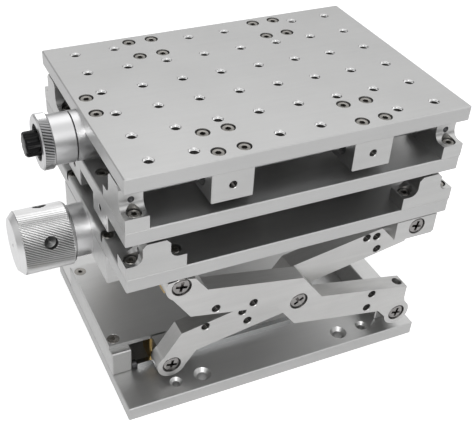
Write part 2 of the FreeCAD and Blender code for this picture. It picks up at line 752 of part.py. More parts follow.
def lead_screw(start, reach):
    """Journal through the housing and into the hand wheel, then the thread as far as reach."""
    shoulder = -housing_under_plate - face_clearance
    wheel_end = start + wheel_grip - 0.5
    profile = [(reach, 0), (reach, screw_radius - 0.8), (reach + 0.8, screw_radius), (shoulder, screw_radius),
               (shoulder, journal_radius), (wheel_end, journal_radius), (wheel_end, 0)]
    return turned(profile, "x", 0, 0, 0)


def at_left_end(shape):
    """Turn a piece drawn along +X so that it points to -X from the table's left edge."""
    return placed(shape, 180, -half_length, 0, x_screw_z)


def at_back(shape):
    """Turn a piece drawn along +X so that it points to the back from the middle plate's edge."""
    return placed(shape, 90, 0, half_width, y_screw_z)


x_wheel_start = x_sleeve_length + knob_gap
y_wheel_start = y_sleeve_length + knob_gap
x_housing = screw_housing(housing_radius, x_sleeve_length, x_screw_drop, housing_bolt_pitch)
y_housing = screw_housing(y_housing_radius, y_sleeve_length, y_screw_drop, y_housing_bolt_pitch)
save("x_screw_housing", at_left_end(x_housing))
save("y_screw_housing", at_back(y_housing))
save("x_lead_screw", at_left_end(lead_screw(x_wheel_start, -half_length - x_screw_reach)))
save("y_lead_screw", at_back(lead_screw(y_wheel_start, -half_width - y_screw_reach)))
save("x_handwheel", at_left_end(hand_wheel(x_wheel_start, housing_radius, barrel_length)))
save("y_handwheel", at_back(hand_wheel(y_wheel_start, y_housing_radius, y_barrel_length)))
save("x_thumb_screw", at_left_end(thumb_screw(x_wheel_start, barrel_length)))
save("y_thumb_screw", at_back(thumb_screw(y_wheel_start, y_barrel_length)))

# Upper crosshead: nut block of the lift screw, sliding under the lift plate
upper_top = lift_bottom - slide_gap
nut_block_half = nut_block_length / 2
upper_block = box(slide_pivot_x - nut_block_half, slide_pivot_x + nut_block_half,
                  -nut_block_half_width, nut_block_half_width, upper_top - upper_block_depth, upper_top)
upper_block = chamfered(upper_block, edge_chamfer)
shoe_inner_y = inner_back + crosshead_end_inset
stub_half = crosshead_length / 2
stub = box(slide_pivot_x - stub_half, slide_pivot_x + stub_half, -shoe_inner_y, shoe_inner_y,
           upper_top - stub_depth, upper_top - edge_chamfer)
upper_body = joined([upper_block, stub])
nut_start = slide_pivot_x - nut_block_half
upper_cuts = [rod("x", nut_start - 1, 0, z_screw_z, nut_block_length + 2, z_nut_radius)]
for side_y in (-1, 1):
    depth = -side_y * (pivot_thread_length + 1)
    upper_cuts.append(rod("y", slide_pivot_x, side_y * shoe_inner_y, upper_pivot_z, depth, pivot_thread_radius))
save("upper_crosshead", upper_body.cut(upper_cuts))
z_nut_half = nut_block_half + 1
z_nut_inner = z_screw_radius + running_clearance
z_nut_outer = z_nut_radius - thread_gap
z_nut = turned([(-z_nut_half, z_nut_inner), (-z_nut_half, z_nut_outer), (z_nut_half, z_nut_outer),
                (z_nut_half, z_nut_inner)], "x", slide_pivot_x, 0, z_screw_z)
save("z_nut", z_nut)

shoe_half = shoe_length / 2
upper_shoe = box(slide_pivot_x - shoe_half, slide_pivot_x + shoe_half, -inner_face, -shoe_inner_y,
                 upper_top - upper_block_depth, upper_top)
upper_shoe = upper_shoe.cut(rod("y", slide_pivot_x, -inner_face - 1, upper_pivot_z, inner_face,
                                pivot_shoulder_radius + thread_gap))
save("upper_slide_shoes", both_sides(upper_shoe))

# Lower crosshead: bar across the base under the cover, on brass shoes
cover_bottom = base_top + end_block_height
lower_top = cover_bottom - slide_gap
lower_bottom = lower_top - lower_bar_height
lower_half = lower_bar_length / 2
lower_end_y = inner_back - slide_gap
lower_bar = box(slide_pivot_x - lower_half, slide_pivot_x + lower_half, -lower_end_y, lower_end_y,
                lower_bottom, lower_top)
lower_ends = both_sides(box(slide_pivot_x - lower_half, slide_pivot_x + lower_half, -lower_end_y,
                            -cover_half_width - 1, lower_bottom, lower_end_top))
lower_body = joined([lower_bar] + lower_ends)
lower_cuts = []
for side_y in (-1, 1):
    depth = -side_y * (pivot_thread_length + 1)
    lower_cuts.append(rod("y", slide_pivot_x, side_y * lower_end_y, lower_pivot_z, depth, pivot_thread_radius))
save("lower_crosshead", lower_body.cut(lower_cuts))
lower_shoe_outer_y = end_block_half_width - rail_width - lower_shoe_gap
lower_shoe_inner_y = lower_shoe_outer_y - lower_shoe_width
lower_shoe = box(slide_pivot_x - shoe_half, slide_pivot_x + shoe_half, -lower_shoe_outer_y, -lower_shoe_inner_y,
                 base_top + slide_gap, lower_top)
save("lower_slide_shoes", both_sides(lower_shoe.cut(lower_bar)))

# Pivot screws of the sliding ends, the crossing and the base; heads flush with the arms
outer_head_y = -outer_face + face_clearance
inner_head_y = -inner_face + face_clearance
upper_slide_screw = pivot_screw(outer_head_y, -shoe_inner_y, -shoe_inner_y + pivot_thread_length,
                                slide_pivot_x, upper_pivot_z)
lower_slide_screw = pivot_screw(inner_head_y, -lower_end_y, -lower_end_y + pivot_thread_length,
                                slide_pivot_x, lower_pivot_z)
centre_screw = pivot_screw(outer_head_y, -inner_face, -inner_face + pivot_thread_length, centre_x, centre_z)
base_screw = pivot_screw(outer_head_y, -inner_face, -inner_face + pivot_thread_length,
                         fixed_pivot_x, lower_pivot_z)
save("upper_slide_pivot_screws", both_sides(upper_slide_screw))
save("lower_slide_pivot_screws", both_sides(lower_slide_screw))
save("centre_pivot_screws", both_sides(centre_screw))
save("base_pivot_screws", both_sides(base_screw))

# Cranked scissor arms, drawn flat: x along the pivot line from the crossing, z across it.
# Two parallel strips run one on each side of the pivot line and jog over at the crossing.
half_span = arm_span / 2
left_end_corners = [(-7.4, -5.8), (4.1, 8.15), (17.6, 0.7)]
upper_crossing_corners = [(-6.9, 17.2), (15.5, 5.5)]
right_end_corners = [(-5.6, 21.7), (-1.4, 12.5), (7.8, 2.6), (2.5, -9.0), (-16.7, -0.8)]
lower_crossing_corners = [(6.8, -17.2), (-15.0, -5.7)]
left_foot_corner = [(15.8, -19.5)]
outer_left_holes = [(30.2, -12.0), (54.2, -5.0)]
outer_right_holes = [(-31.2, 11.7), (-28.5, 1.0)]
inner_left_holes = [(30.2, -13.0), (54.2, -6.0), (54.2, 3.6)]
inner_right_holes = [(-28.6, -0.8), (-22.2, 3.0), (-24.9, 13.2)]
arm_top_room = upper_pivot_drop - slide_gap
highest_and_lowest = (lowest_angle, highest_angle)


def moved_corners(corners, along):
    return [Vector(x + along, 0, z) for x, z in corners]


def flat_arm(left_holes, right_holes):
    """One cranked arm, its outer face at y = 0 and its thickness towards +Y."""
    outline = moved_corners(left_end_corners, -half_span)
    outline += moved_corners(upper_crossing_corners, 0)
    outline += moved_corners(right_end_corners, half_span)
    outline += moved_corners(lower_crossing_corners, 0)
    outline += moved_corners(left_foot_corner, -half_span)
    blade = profile_solid(outline, Vector(0, 0, 0), Vector(0, arm_thickness, 0))
    lobes = [rod("y", side * half_span, 0, 0, arm_thickness, lobe_radius) for side in (-1, 1)]
    arm = joined([blade] + lobes)
    places = moved_corners(left_holes, -half_span) + moved_corners(right_holes, half_span)
    holes = [rod("y", place.x, -1, place.z, arm_thickness + 2, arm_hole_radius) for place in places]
    edge_hole = rod("z", half_span - edge_hole_inset, arm_thickness / 2, edge_hole_floor,
                    2 * lobe_radius, edge_hole_radius)
    return arm.cut(holes + [edge_hole])


def under_plate(arm, end, tilt_sign):
    """Trim an arm's upper end so that it stays under the lift plate at every angle."""
    for angle in highest_and_lowest:
        room = box(-arm_span, arm_span, -1, arm_thickness + 1, arm_top_room, arm_top_room + arm_span)
        room.rotate(Vector(0, 0, 0), Vector(0, 1, 0), tilt_sign * angle)
        room.translate(Vector(end * half_span, 0, 0))
        arm = arm.cut(room)
    return arm


def tilted(arm, angle, face_y):
    """Turn a flat arm about the crossing and put its outer face at face_y."""
    arm.rotate(Vector(0, 0, 0), Vector(0, 1, 0), angle)
    arm.translate(Vector(centre_x, face_y, centre_z))
    return arm


rest_degrees = math.degrees(rest_angle)
outer_arm = tilted(under_plate(flat_arm(outer_left_holes, outer_right_holes), -1, -1), rest_degrees, -outer_face)
outer_eyes = []
for eye_x, eye_z in ((slide_pivot_x, upper_pivot_z), (centre_x, centre_z), (fixed_pivot_x, lower_pivot_z)):
    outer_eyes += pivot_eye(-outer_face, -outer_back, eye_x, eye_z)
outer_front, outer_rear = both_sides(outer_arm.cut(outer_eyes))
save("outer_arm_front", outer_front)
save("outer_arm_rear", outer_rear)

inner_flat = flat_arm(inner_left_holes, inner_right_holes).mirror(Vector(0, 0, 0), Vector(0, 0, 1))
inner_arm = tilted(under_plate(inner_flat, 1, 1), -rest_degrees, -inner_face)
inner_cuts = pivot_eye(-inner_face, -inner_back, slide_pivot_x, lower_pivot_z)
inner_cuts.append(rod("y", centre_x, -inner_face - 1, centre_z, pivot_thread_length + 2, pivot_thread_radius))
inner_cuts.append(rod("y", fixed_pivot_x, -inner_face - 1, upper_pivot_z, arm_thickness + 2,
                      pivot_shoulder_radius + running_clearance))
inner_front, inner_rear = both_sides(inner_arm.cut(inner_cuts))
save("inner_arm_front", inner_front)
save("inner_arm_rear", inner_rear)


# Base plate with its fittings
def base_screw_hole(x, y):
    """Counterbore in the underside and clearance hole for a hidden cap screw."""
    seat = cap_sunk + cap_head_height
    return [rod("z", x, y, -1, seat + 1, cap_counterbore_radius),
            rod("z", x, y, -1, base_thickness + 2, cap_clear_radius)]


def countersunk_hole(x, y, top_z, thickness, radius, sink_radius):
    sink = cone("z", x, y, top_z - sink_radius + radius, sink_radius - radius, radius, sink_radius)
    return [sink, rod("z", x, y, top_z - thickness - 1, thickness + 2, radius)]


block_right_x = base_left + end_block_length
rail_start_x = block_right_x + stop_head_length + rail_start_gap
rail_outer_y = end_block_half_width
rail_bottom = base_top - rail_groove_depth
bar_left_x = fixed_pivot_x - pivot_bar_width / 2
bar_right_x = fixed_pivot_x + pivot_bar_width / 2
block_screw_x = (base_left + block_right_x) / 2
hidden_screw_places = [(block_screw_x, side_y * block_screw_y) for side_y in (-1, 1)]
hidden_screw_places += [(fixed_pivot_x, side_y * bar_screw_y) for side_y in (-1, 1)]

base = box(base_left, base_right, -half_width, half_width, 0, base_thickness)
base = chamfered(base, edge_chamfer)
base_cuts = []
for side_x in (-1, 1):
    for side_y in (-1, 1):
        hole_y = side_y * base_bolt_y
        base_cuts += countersunk_hole(base_middle_x + side_x * base_bolt_x, hole_y, base_top, base_thickness,
                                      base_bolt_radius, base_bolt_sink_radius)
        base_cuts += countersunk_hole(base_middle_x + side_x * base_small_x, hole_y, base_top, base_thickness,
                                      base_small_radius, base_small_sink_radius)
for side_y in (-1, 1):
    base_cuts.append(box(rail_start_x, rail_end_x, side_y * (rail_outer_y - rail_width), side_y * rail_outer_y,
                         rail_bottom, base_top + 1))
for screw_x, screw_y in hidden_screw_places:
    base_cuts += base_screw_hole(screw_x, screw_y)
save("base_plate", base.cut(base_cuts))

rail = box(rail_start_x, rail_end_x, -rail_outer_y, rail_width - rail_outer_y, rail_bottom, base_top + rail_height)
save("base_guide_rails", both_sides(rail))

end_block = box(base_left, block_right_x, -end_block_half_width, end_block_half_width, base_top, cover_bottom)
end_block = chamfered(end_block, edge_chamfer)
cover = box(base_left, cover_right_x, -cover_half_width, cover_half_width, cover_bottom, cover_top)
stop_z = base_top + stop_head_radius + face_clearance
stop_y = end_block_half_width - stop_inset
block_cuts = []
cover_cuts = []
cover_screws = []
stop_screws = []
for side_y in (-1, 1):
    screw_x = base_left + cover_screw_x
    screw_y = side_y * cover_screw_y
    sink_depth = cover_sink_radius - cap_shank_radius
    cover_cuts += countersunk_hole(screw_x, screw_y, cover_top, cover_thickness, cap_shank_radius + thread_gap,
                                   cover_sink_radius + thread_gap)
    block_cuts.append(tapped_hole(screw_x, screw_y, cover_bottom, cap_thread_length))
    head = cone("z", screw_x, screw_y, cover_top - sink_depth, sink_depth,
                cap_shank_radius - thread_gap, cover_sink_radius - thread_gap)
    shank = rod("z", screw_x, screw_y, cover_top - sink_depth, sink_depth - cover_thickness - cap_thread_length + 1,
                cap_shank_radius - thread_gap)
    cover_screws.append(joined([head, shank]))
    stop_head = rod("x", block_right_x, side_y * stop_y, stop_z, stop_head_length, stop_head_radius)
    stop_shank = rod("x", block_right_x, side_y * stop_y, stop_z, -stop_shank_length, stop_shank_radius - thread_gap)
    stop_screws.append(joined([stop_head, stop_shank]))
    block_cuts.append(rod("x", block_right_x + 1, side_y * stop_y, stop_z, -stop_shank_length - 1.5,
                          stop_shank_radius))
    block_cuts.append(rod("z", block_screw_x, side_y * block_screw_y, base_top - 1, cap_thread_length + 2,
                          cap_shank_radius))
save("base_end_block", end_block.cut(block_cuts))
save("slider_cover", cover.cut(cover_cuts))
save("cover_screws", cover_screws)
save("stop_screws", stop_screws)

pivot_bar = box(bar_left_x, bar_right_x, -inner_face, inner_face, base_top, base_top + pivot_bar_height)
pivot_bar = chamfered(pivot_bar, edge_chamfer)
bar_cuts = []
for side_y in (-1, 1):
    depth = -side_y * (pivot_thread_length + 1)
    bar_cuts.append(rod("y", fixed_pivot_x, side_y * inner_face, lower_pivot_z, depth, pivot_thread_radius))
    bar_cuts.append(rod("z", fixed_pivot_x, side_y * bar_screw_y, base_top - 1, cap_thread_length + 2,
                        cap_shank_radius))
save("base_pivot_bar", pivot_bar.cut(bar_cuts))

hidden_seat = cap_sunk + cap_head_height
hidden_grip = base_thickness - hidden_seat + cap_thread_length
save("base_screws", [hanging_screw(x, y, hidden_seat, hidden_grip) for x, y in hidden_screw_places])
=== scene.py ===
"""Looks of a hand-driven x-y-z positioning table: a scissor lift with two crossed shaft slides.

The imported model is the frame. Every length here is in metres, in the frame's own axes.
"""
import math

import bmesh
import bpy
from mathutils import Matrix, Vector


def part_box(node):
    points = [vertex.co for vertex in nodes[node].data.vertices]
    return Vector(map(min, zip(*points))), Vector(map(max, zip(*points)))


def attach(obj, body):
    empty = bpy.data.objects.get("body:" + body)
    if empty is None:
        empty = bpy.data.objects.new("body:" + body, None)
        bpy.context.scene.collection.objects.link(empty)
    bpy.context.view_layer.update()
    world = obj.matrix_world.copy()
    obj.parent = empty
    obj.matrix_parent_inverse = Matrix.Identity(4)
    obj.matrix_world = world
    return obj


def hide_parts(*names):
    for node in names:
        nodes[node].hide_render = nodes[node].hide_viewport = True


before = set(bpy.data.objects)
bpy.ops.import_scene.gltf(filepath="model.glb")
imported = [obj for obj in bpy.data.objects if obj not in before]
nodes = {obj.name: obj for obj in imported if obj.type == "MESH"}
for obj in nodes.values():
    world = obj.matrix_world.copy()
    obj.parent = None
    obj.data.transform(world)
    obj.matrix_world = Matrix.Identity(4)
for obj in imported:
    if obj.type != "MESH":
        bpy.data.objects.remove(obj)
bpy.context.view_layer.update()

# Plates: base, lift plate, middle plate, table and the slide's cover. The table is drilled below.
# Sawn aluminium plate, milled flat, bead blasted and clear anodised; its edges are broken by a
# small chamfer. The blasting leaves a fine even grain and the light anodising a soft cloudiness.
PLATES = ("base_plate", "lift_plate", "middle_plate", "slider_cover")
PLATE_COLOUR = (0.53, 0.53, 0.527, 1.0)
PLATE_ROUGHNESS = 0.42
BLAST_GRAIN_PER_METRE = 2600.0
CLOUDS_PER_METRE = 22.0
MARK_TURN = (0.4, 0.3, 0.7)
MARKS_PER_METRE = (18.0, 420.0, 260.0)
MARK_POLISH = -0.8
GRAIN_ROUGHNESS = 0.06
NOISE_LOW = 0.25
NOISE_HIGH = 0.75
WELD_DISTANCE = 1e-6


def new_group(name, inputs, outputs):
    """A shader node group of sockets given as (name, kind, default), and its own ends of them."""
    group = bpy.data.node_groups.new(name, "ShaderNodeTree")
    for socket_name, kind, default in inputs:
        socket = group.interface.new_socket(socket_name, in_out="INPUT", socket_type="NodeSocket" + kind)
        if default is not None:
            socket.default_value = default
    for socket_name, kind in outputs:
        group.interface.new_socket(socket_name, in_out="OUTPUT", socket_type="NodeSocket" + kind)
    group_in = group.nodes.new("NodeGroupInput")
    group_out = group.nodes.new("NodeGroupOutput")
    return group, group_in.outputs, group_out.inputs


def add_node(tree, kind, links=(), **values):
    """A node with its properties set and some inputs linked: links holds (input, source socket)."""
    node = tree.nodes.new(kind)
    for key, value in values.items():
        setattr(node, key, value)
    for key, source in links:
        tree.links.new(source, node.inputs[key])
    return node


def feed(tree, socket, source):
    """Give a socket a number, or link another socket to it."""
    if isinstance(source, (int, float)):
        socket.default_value = source
    else:
        tree.links.new(source, socket)


def maths(tree, operation, first, second):
    """The result of a Math node of two values; each is a number or a socket to link."""
    node = add_node(tree, "ShaderNodeMath", operation=operation)
    feed(tree, node.inputs[0], first)
    feed(tree, node.inputs[1], second)
    return node.outputs[0]


def spread(tree, value, low, high):
    """Map the middle of a 0 to 1 noise onto low to high."""
    node = add_node(tree, "ShaderNodeMapRange", [("Value", value)])
    limits = (("From Min", NOISE_LOW), ("From Max", NOISE_HIGH), ("To Min", low), ("To Max", high))
    for key, limit in limits:
        node.inputs[key].default_value = limit
    return node.outputs["Result"]


def noise(tree, vector, scale, detail):
    """A noise value at a vector; its scale is a number or a socket to link."""
    node = add_node(tree, "ShaderNodeTexNoise", [("Vector", vector)])
    feed(tree, node.inputs["Scale"], scale)
    node.inputs["Detail"].default_value = detail
    return node.outputs["Fac"]


# The finish of blasted or ground metal: fine grain, slow clouds and a few faint handling marks.
satin, satin_in, satin_out = new_group(
    "satin finish",
    [("Place", "Vector", None), ("Colour", "Color", (0.7, 0.7, 0.7, 1.0)), ("Roughness", "Float", 0.4),
     ("Grain", "Float", 2500.0), ("Clouding", "Float", 0.05), ("Marks", "Float", 0.05)],
    [("Colour", "Color"), ("Roughness", "Float"), ("Height", "Float")])
grain = noise(satin, satin_in["Place"], satin_in["Grain"], detail=3.0)
clouds = noise(satin, satin_in["Place"], CLOUDS_PER_METRE, detail=3.0)
mark_places = add_node(satin, "ShaderNodeMapping", [("Vector", satin_in["Place"])])
mark_places.inputs["Rotation"].default_value = MARK_TURN
mark_places.inputs["Scale"].default_value = MARKS_PER_METRE
marks = noise(satin, mark_places.outputs["Vector"], 1.0, detail=4.0)
mark_depth = maths(satin, "MULTIPLY", spread(satin, marks, -1.0, 1.0), satin_in["Marks"])
cloud_depth = maths(satin, "MULTIPLY", spread(satin, clouds, -1.0, 1.0), satin_in["Clouding"])
shade = maths(satin, "ADD", maths(satin, "ADD", cloud_depth, mark_depth), 1.0)
toned = add_node(satin, "ShaderNodeVectorMath", [(0, satin_in["Colour"]), ("Scale", shade)],
                 operation="SCALE")
satin.links.new(toned.outputs["Vector"], satin_out["Colour"])
smoother_marks = maths(satin, "MULTIPLY", mark_depth, MARK_POLISH)
rough_change = maths(satin, "ADD", spread(satin, grain, -GRAIN_ROUGHNESS, GRAIN_ROUGHNESS), smoother_marks)
rough_sum = maths(satin, "ADD", rough_change, satin_in["Roughness"])
satin.links.new(rough_sum, satin_out["Roughness"])
satin.links.new(grain, satin_out["Height"])


def metal(name, group, values, bump_depth, metallic=1.0):
    """A material of one finish group: its colour, roughness and bump come from the group."""
    material = bpy.data.materials.new(name)
    material.use_nodes = True
    tree = material.node_tree
    shader = tree.nodes["Principled BSDF"]
    shader.inputs["Metallic"].default_value = metallic
    place = add_node(tree, "ShaderNodeTexCoord")
    finish = add_node(tree, "ShaderNodeGroup", node_tree=group)
    tree.links.new(place.outputs["Object"], finish.inputs["Place"])
    for key, value in values.items():
        finish.inputs[key].default_value = value
    tree.links.new(finish.outputs["Colour"], shader.inputs["Base Color"])
    tree.links.new(finish.outputs["Roughness"], shader.inputs["Roughness"])
    bump = add_node(tree, "ShaderNodeBump", [("Height", finish.outputs["Height"])])
    bump.inputs["Strength"].default_value = 1.0
    bump.inputs["Distance"].default_value = bump_depth
    tree.links.new(bump.outputs["Normal"], shader.inputs["Normal"])
    return material


def dress(names, material):
    """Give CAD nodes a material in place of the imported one."""
    for name in names:
        for slot in nodes[name].material_slots:
            slot.material = material


blasted_plate = metal("blasted plate", satin,
                      {"Colour": PLATE_COLOUR, "Roughness": PLATE_ROUGHNESS, "Grain": BLAST_GRAIN_PER_METRE,
                       "Clouding": 0.035, "Marks": 0.015}, bump_depth=0.000012)
dress(PLATES, blasted_plate)

# Milled blocks: shaft supports, lugs, brackets, crossheads, end block, and the bearing blocks below.
# The same alloy, milled on every face and left a little brighter than the plates.
MILLED = ("base_end_block", "base_pivot_bar", "lift_lugs", "z_bearing_panel", "x_shaft_supports",
          "y_shaft_supports", "x_nut_bracket", "y_nut_bracket", "upper_crosshead", "lower_crosshead")
milled_block = metal("milled block", satin,
                     {"Colour": (0.53, 0.53, 0.525, 1.0), "Roughness": 0.36, "Grain": 1900.0,
                      "Clouding": 0.05, "Marks": 0.03}, bump_depth=0.000008)
dress(MILLED, milled_block)

# Scissor arms: cut from thick plate and ground on the wide faces, which keeps them light and silky.
# Pivot screws hold them together. Their meshes are drilled below, where the open holes are made.
ground_arm = metal("ground arm", satin,
                   {"Colour": (0.56, 0.557, 0.55, 1.0), "Roughness": 0.34, "Grain": 1500.0,
                    "Clouding": 0.07, "Marks": 0.045}, bump_depth=0.000006)

# Turned pieces: housings, flange and hand wheels, turned from aluminium bar. The tool leaves very
# fine lines round each piece.
TURNED_COLOUR = (0.64, 0.64, 0.645, 1.0)
TURNED_ROUGHNESS = 0.33
LINES_ROUND = {"x": (3200.0, 15.0, 15.0), "y": (15.0, 3200.0, 15.0)}
LINE_SHADE = 0.006
LINE_ROUGHNESS = 0.008
STAINS_PER_METRE = 60.0
STAIN_SHADES = (0.96, 1.03)
turned_finish, turned_in, turned_out = new_group(
    "turned finish",
    [("Place", "Vector", None), ("Colour", "Color", (0.8, 0.8, 0.8, 1.0)), ("Roughness", "Float", 0.3),
     ("Lines", "Vector", LINES_ROUND["x"])],
    [("Colour", "Color"), ("Roughness", "Float"), ("Height", "Float")])
line_places = add_node(turned_finish, "ShaderNodeVectorMath", [(0, turned_in["Place"]),
                       (1, turned_in["Lines"])], operation="MULTIPLY")
lines = noise(turned_finish, line_places.outputs["Vector"], 1.0, detail=3.0)
stains = noise(turned_finish, turned_in["Place"], STAINS_PER_METRE, detail=3.0)
turned_shade = maths(turned_finish, "ADD", spread(turned_finish, lines, -LINE_SHADE, LINE_SHADE),
                     spread(turned_finish, stains, *STAIN_SHADES))
turned_tone = add_node(turned_finish, "ShaderNodeVectorMath",
                       [(0, turned_in["Colour"]), ("Scale", turned_shade)], operation="SCALE")
turned_finish.links.new(turned_tone.outputs["Vector"], turned_out["Colour"])
turned_rough = maths(turned_finish, "ADD", spread(turned_finish, lines, -LINE_ROUGHNESS, LINE_ROUGHNESS),
                     turned_in["Roughness"])
turned_finish.links.new(turned_rough, turned_out["Roughness"])
turned_finish.links.new(lines, turned_out["Height"])


def turned_metal(name, colour, roughness, axis, bump_depth=0.0000002):
    """A material with tool lines round one axis."""
    values = {"Colour": colour, "Roughness": roughness, "Lines": LINES_ROUND[axis]}
    return metal(name, turned_finish, values, bump_depth)


turned_x = turned_metal("turned along x", TURNED_COLOUR, TURNED_ROUGHNESS, "x")
turned_y = turned_metal("turned along y", TURNED_COLOUR, TURNED_ROUGHNESS, "y")
dress(("x_screw_housing", "z_bearing_flange"), turned_x)
dress(("y_screw_housing",), turned_y)

# Shafts, bushes and rails: hardened steel, ground and polished. Set screws hold the shafts in their
# supports, and the bearing blocks run along them.
SHAFT_COLOUR = (0.72, 0.73, 0.74, 1.0)
SHAFT_ROUGHNESS = 0.14
SHAFT_LINE_DEPTH = 0.000002
shaft_x = turned_metal("ground shaft along x", SHAFT_COLOUR, SHAFT_ROUGHNESS, "x", SHAFT_LINE_DEPTH)
shaft_y = turned_metal("ground shaft along y", SHAFT_COLOUR, SHAFT_ROUGHNESS, "y", SHAFT_LINE_DEPTH)
dress(("x_shafts", "x_bushes", "base_guide_rails"), shaft_x)
dress(("y_shafts", "y_bushes"), shaft_y)

# Brass: the three nuts and the crossheads' shoes, milled and a little tarnished. The nuts are let
# into the upper crosshead and the slides' brackets, round their lead screws.
brass = metal("milled brass", satin,
              {"Colour": (0.46, 0.32, 0.12, 1.0), "Roughness": 0.38, "Grain": 1600.0,
               "Clouding": 0.16, "Marks": 0.08}, bump_depth=0.000008)
dress(("z_nut", "x_nut", "y_nut", "upper_slide_shoes", "lower_slide_shoes"), brass)

# Small steel screws that stay as the frame has them: set screws, flange screws, stop screws. They are
# blackened, and sit in tapped holes.
screw_steel = metal("blackened steel", satin,
                    {"Colour": (0.10, 0.10, 0.105, 1.0), "Roughness": 0.38, "Grain": 2400.0,
                     "Clouding": 0.1, "Marks": 0.05}, bump_depth=0.000006)
dress(("x_support_set_screws", "y_support_set_screws", "z_flange_screws", "base_screws", "stop_screws"),
      screw_steel)

# Socket screws: the bolts sunk in the plates and the support feet. Steel, a plain round head with
# a hexagon socket, their heads a little below the face.
SOCKET_HEAD_RADIUS = 0.0035
SOCKET_HEAD_HEIGHT = 0.004
SOCKET_HEAD_BREAK = 0.00035
SOCKET_SHANK_RADIUS = 0.00198
SOCKET_HEX_RADIUS = 0.00173
SOCKET_HEX_DEPTH = 0.0027
SOCKET_HEX_MOUTH = 1.12
SOCKET_HEX_BREAK = 0.00015
HEAD_SEGMENTS = 36
SCREW_TURN_STEP = 0.37
HEAD_UP_WIDTH = 1.8 * SOCKET_HEAD_RADIUS
END_SLICE = 1e-5
SMOOTH_ANGLE = 35.0
FLAT_FACE_ANGLE = 25.0


def connected(items, neighbours):
    """Split a set of a mesh's corners or faces into groups that hang together."""
    groups = []
    while items:
        front = [items.pop()]
        group = []
        while front:
            item = front.pop()
            group.append(item)
            reached = items.intersection(neighbours(item))
            items -= reached
            front += reached
        groups.append(group)
    return groups


def separate_solids(node_name):
    """Low and high corner of each solid in a CAD node, and how wide it is at its upper end."""
    mesh = bmesh.new()
    mesh.from_mesh(nodes[node_name].data)
    bmesh.ops.remove_doubles(mesh, verts=mesh.verts, dist=WELD_DISTANCE)
    solids = []
    for solid in connected(set(mesh.verts), lambda end: [edge.other_vert(end) for edge in end.link_edges]):
        low = Vector([min(vertex.co[axis] for vertex in solid) for axis in range(3)])
        high = Vector([max(vertex.co[axis] for vertex in solid) for axis in range(3)])
        top = [vertex.co.x for vertex in solid if vertex.co.z > high.z - END_SLICE]
        solids.append((low, high, max(top) - min(top)))
    mesh.free()
    return sorted(solids, key=lambda solid: tuple(solid[0]))


def ring(radius, height, sides=HEAD_SEGMENTS, turn=0.0):
    """Points of a circle round Z."""
    angles = [turn + math.tau * index / sides for index in range(sides)]
    return [Vector((radius * math.cos(angle), radius * math.sin(angle), height)) for angle in angles]


def straight_sided(corners, height, sides=HEAD_SEGMENTS):
    """Points of an outline of straight sides round Z, evenly divided between its corners."""
    per_side = sides // len(corners)
    points = []
    for start, end in zip(corners, corners[1:] + corners[:1]):
        points += [Vector(start).lerp(Vector(end), step / per_side).to_3d() for step in range(per_side)]
    for point in points:
        point.z = height
    return points


def hexagon(radius, height):
    """Points of a hexagon round Z, its corners at a radius."""
    return straight_sided([corner.to_2d() for corner in ring(radius, height, 6)], height)


def loft(outlines, closed=True):
    """Skin through outlines of equal counts: the rim is extruded and moved onto each in turn."""
    part = bmesh.new()
    rim = bmesh.ops.create_circle(part, cap_ends=False, radius=1.0, segments=len(outlines[0]))["verts"]
    for vertex, point in zip(rim, outlines[0]):
        vertex.co = point
    edges = part.edges[:]
    if closed:
        bmesh.ops.contextual_create(part, geom=edges)
    for outline in outlines[1:]:
        made = bmesh.ops.extrude_edge_only(part, edges=edges)["geom"]
        fresh = {item for item in made if isinstance(item, bmesh.types.BMVert)}
        edges = [item for item in made if isinstance(item, bmesh.types.BMEdge)
                 and all(end in fresh for end in item.verts)]
        rim = [next(edge.other_vert(old) for edge in old.link_edges if edge.other_vert(old) in fresh)
               for old in rim]
        for vertex, point in zip(rim, outline):
            vertex.co = point
    if closed:
        bmesh.ops.contextual_create(part, geom=edges)
    return part


def socket_screw(mesh, place, shank_length):
    """One socket screw, its head seated at the origin of place and pointing along its Z."""
    top = SOCKET_HEAD_HEIGHT
    part = loft([ring(SOCKET_SHANK_RADIUS, -shank_length),
                 ring(SOCKET_SHANK_RADIUS, 0.0),
                 ring(SOCKET_HEAD_RADIUS, 0.0),
                 ring(SOCKET_HEAD_RADIUS, top - SOCKET_HEAD_BREAK),
                 ring(SOCKET_HEAD_RADIUS - SOCKET_HEAD_BREAK, top),
                 ring(SOCKET_HEX_RADIUS * SOCKET_HEX_MOUTH, top),
                 hexagon(SOCKET_HEX_RADIUS, top - SOCKET_HEX_BREAK),
                 hexagon(SOCKET_HEX_RADIUS, top - SOCKET_HEX_DEPTH)])
    join_into(mesh, part, place)


def mesh_data(name, mesh):
    """A mesh from a bmesh, which is freed."""
    data = bpy.data.meshes.new(name)
    mesh.to_mesh(data)
    mesh.free()
    return data


def new_object(name, data):
    """An object of a mesh, a lamp or a camera, linked into the scene."""
    made = bpy.data.objects.new(name, data)
    bpy.context.scene.collection.objects.link(made)
    return made


def join_into(mesh, part, place):
    """Move a finished part into place and add it to a mesh."""
    bmesh.ops.recalc_face_normals(part, faces=part.faces)
    bmesh.ops.transform(part, matrix=place, verts=part.verts)
    holder = mesh_data("part", part)
    mesh.from_mesh(holder)
    bpy.data.meshes.remove(holder)


def piece_from(name, mesh, material, body, replaced=(), smooth_angle=SMOOTH_ANGLE):
    """Finish a bmesh as a piece that rides on a body."""
    data = mesh_data(name, mesh)
    data.materials.append(material)
    piece = new_object(name, data)
    data.shade_smooth()
    data.set_sharp_from_angle(angle=math.radians(smooth_angle))
    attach(piece, body)
    if replaced:
        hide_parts(*replaced)
    return piece


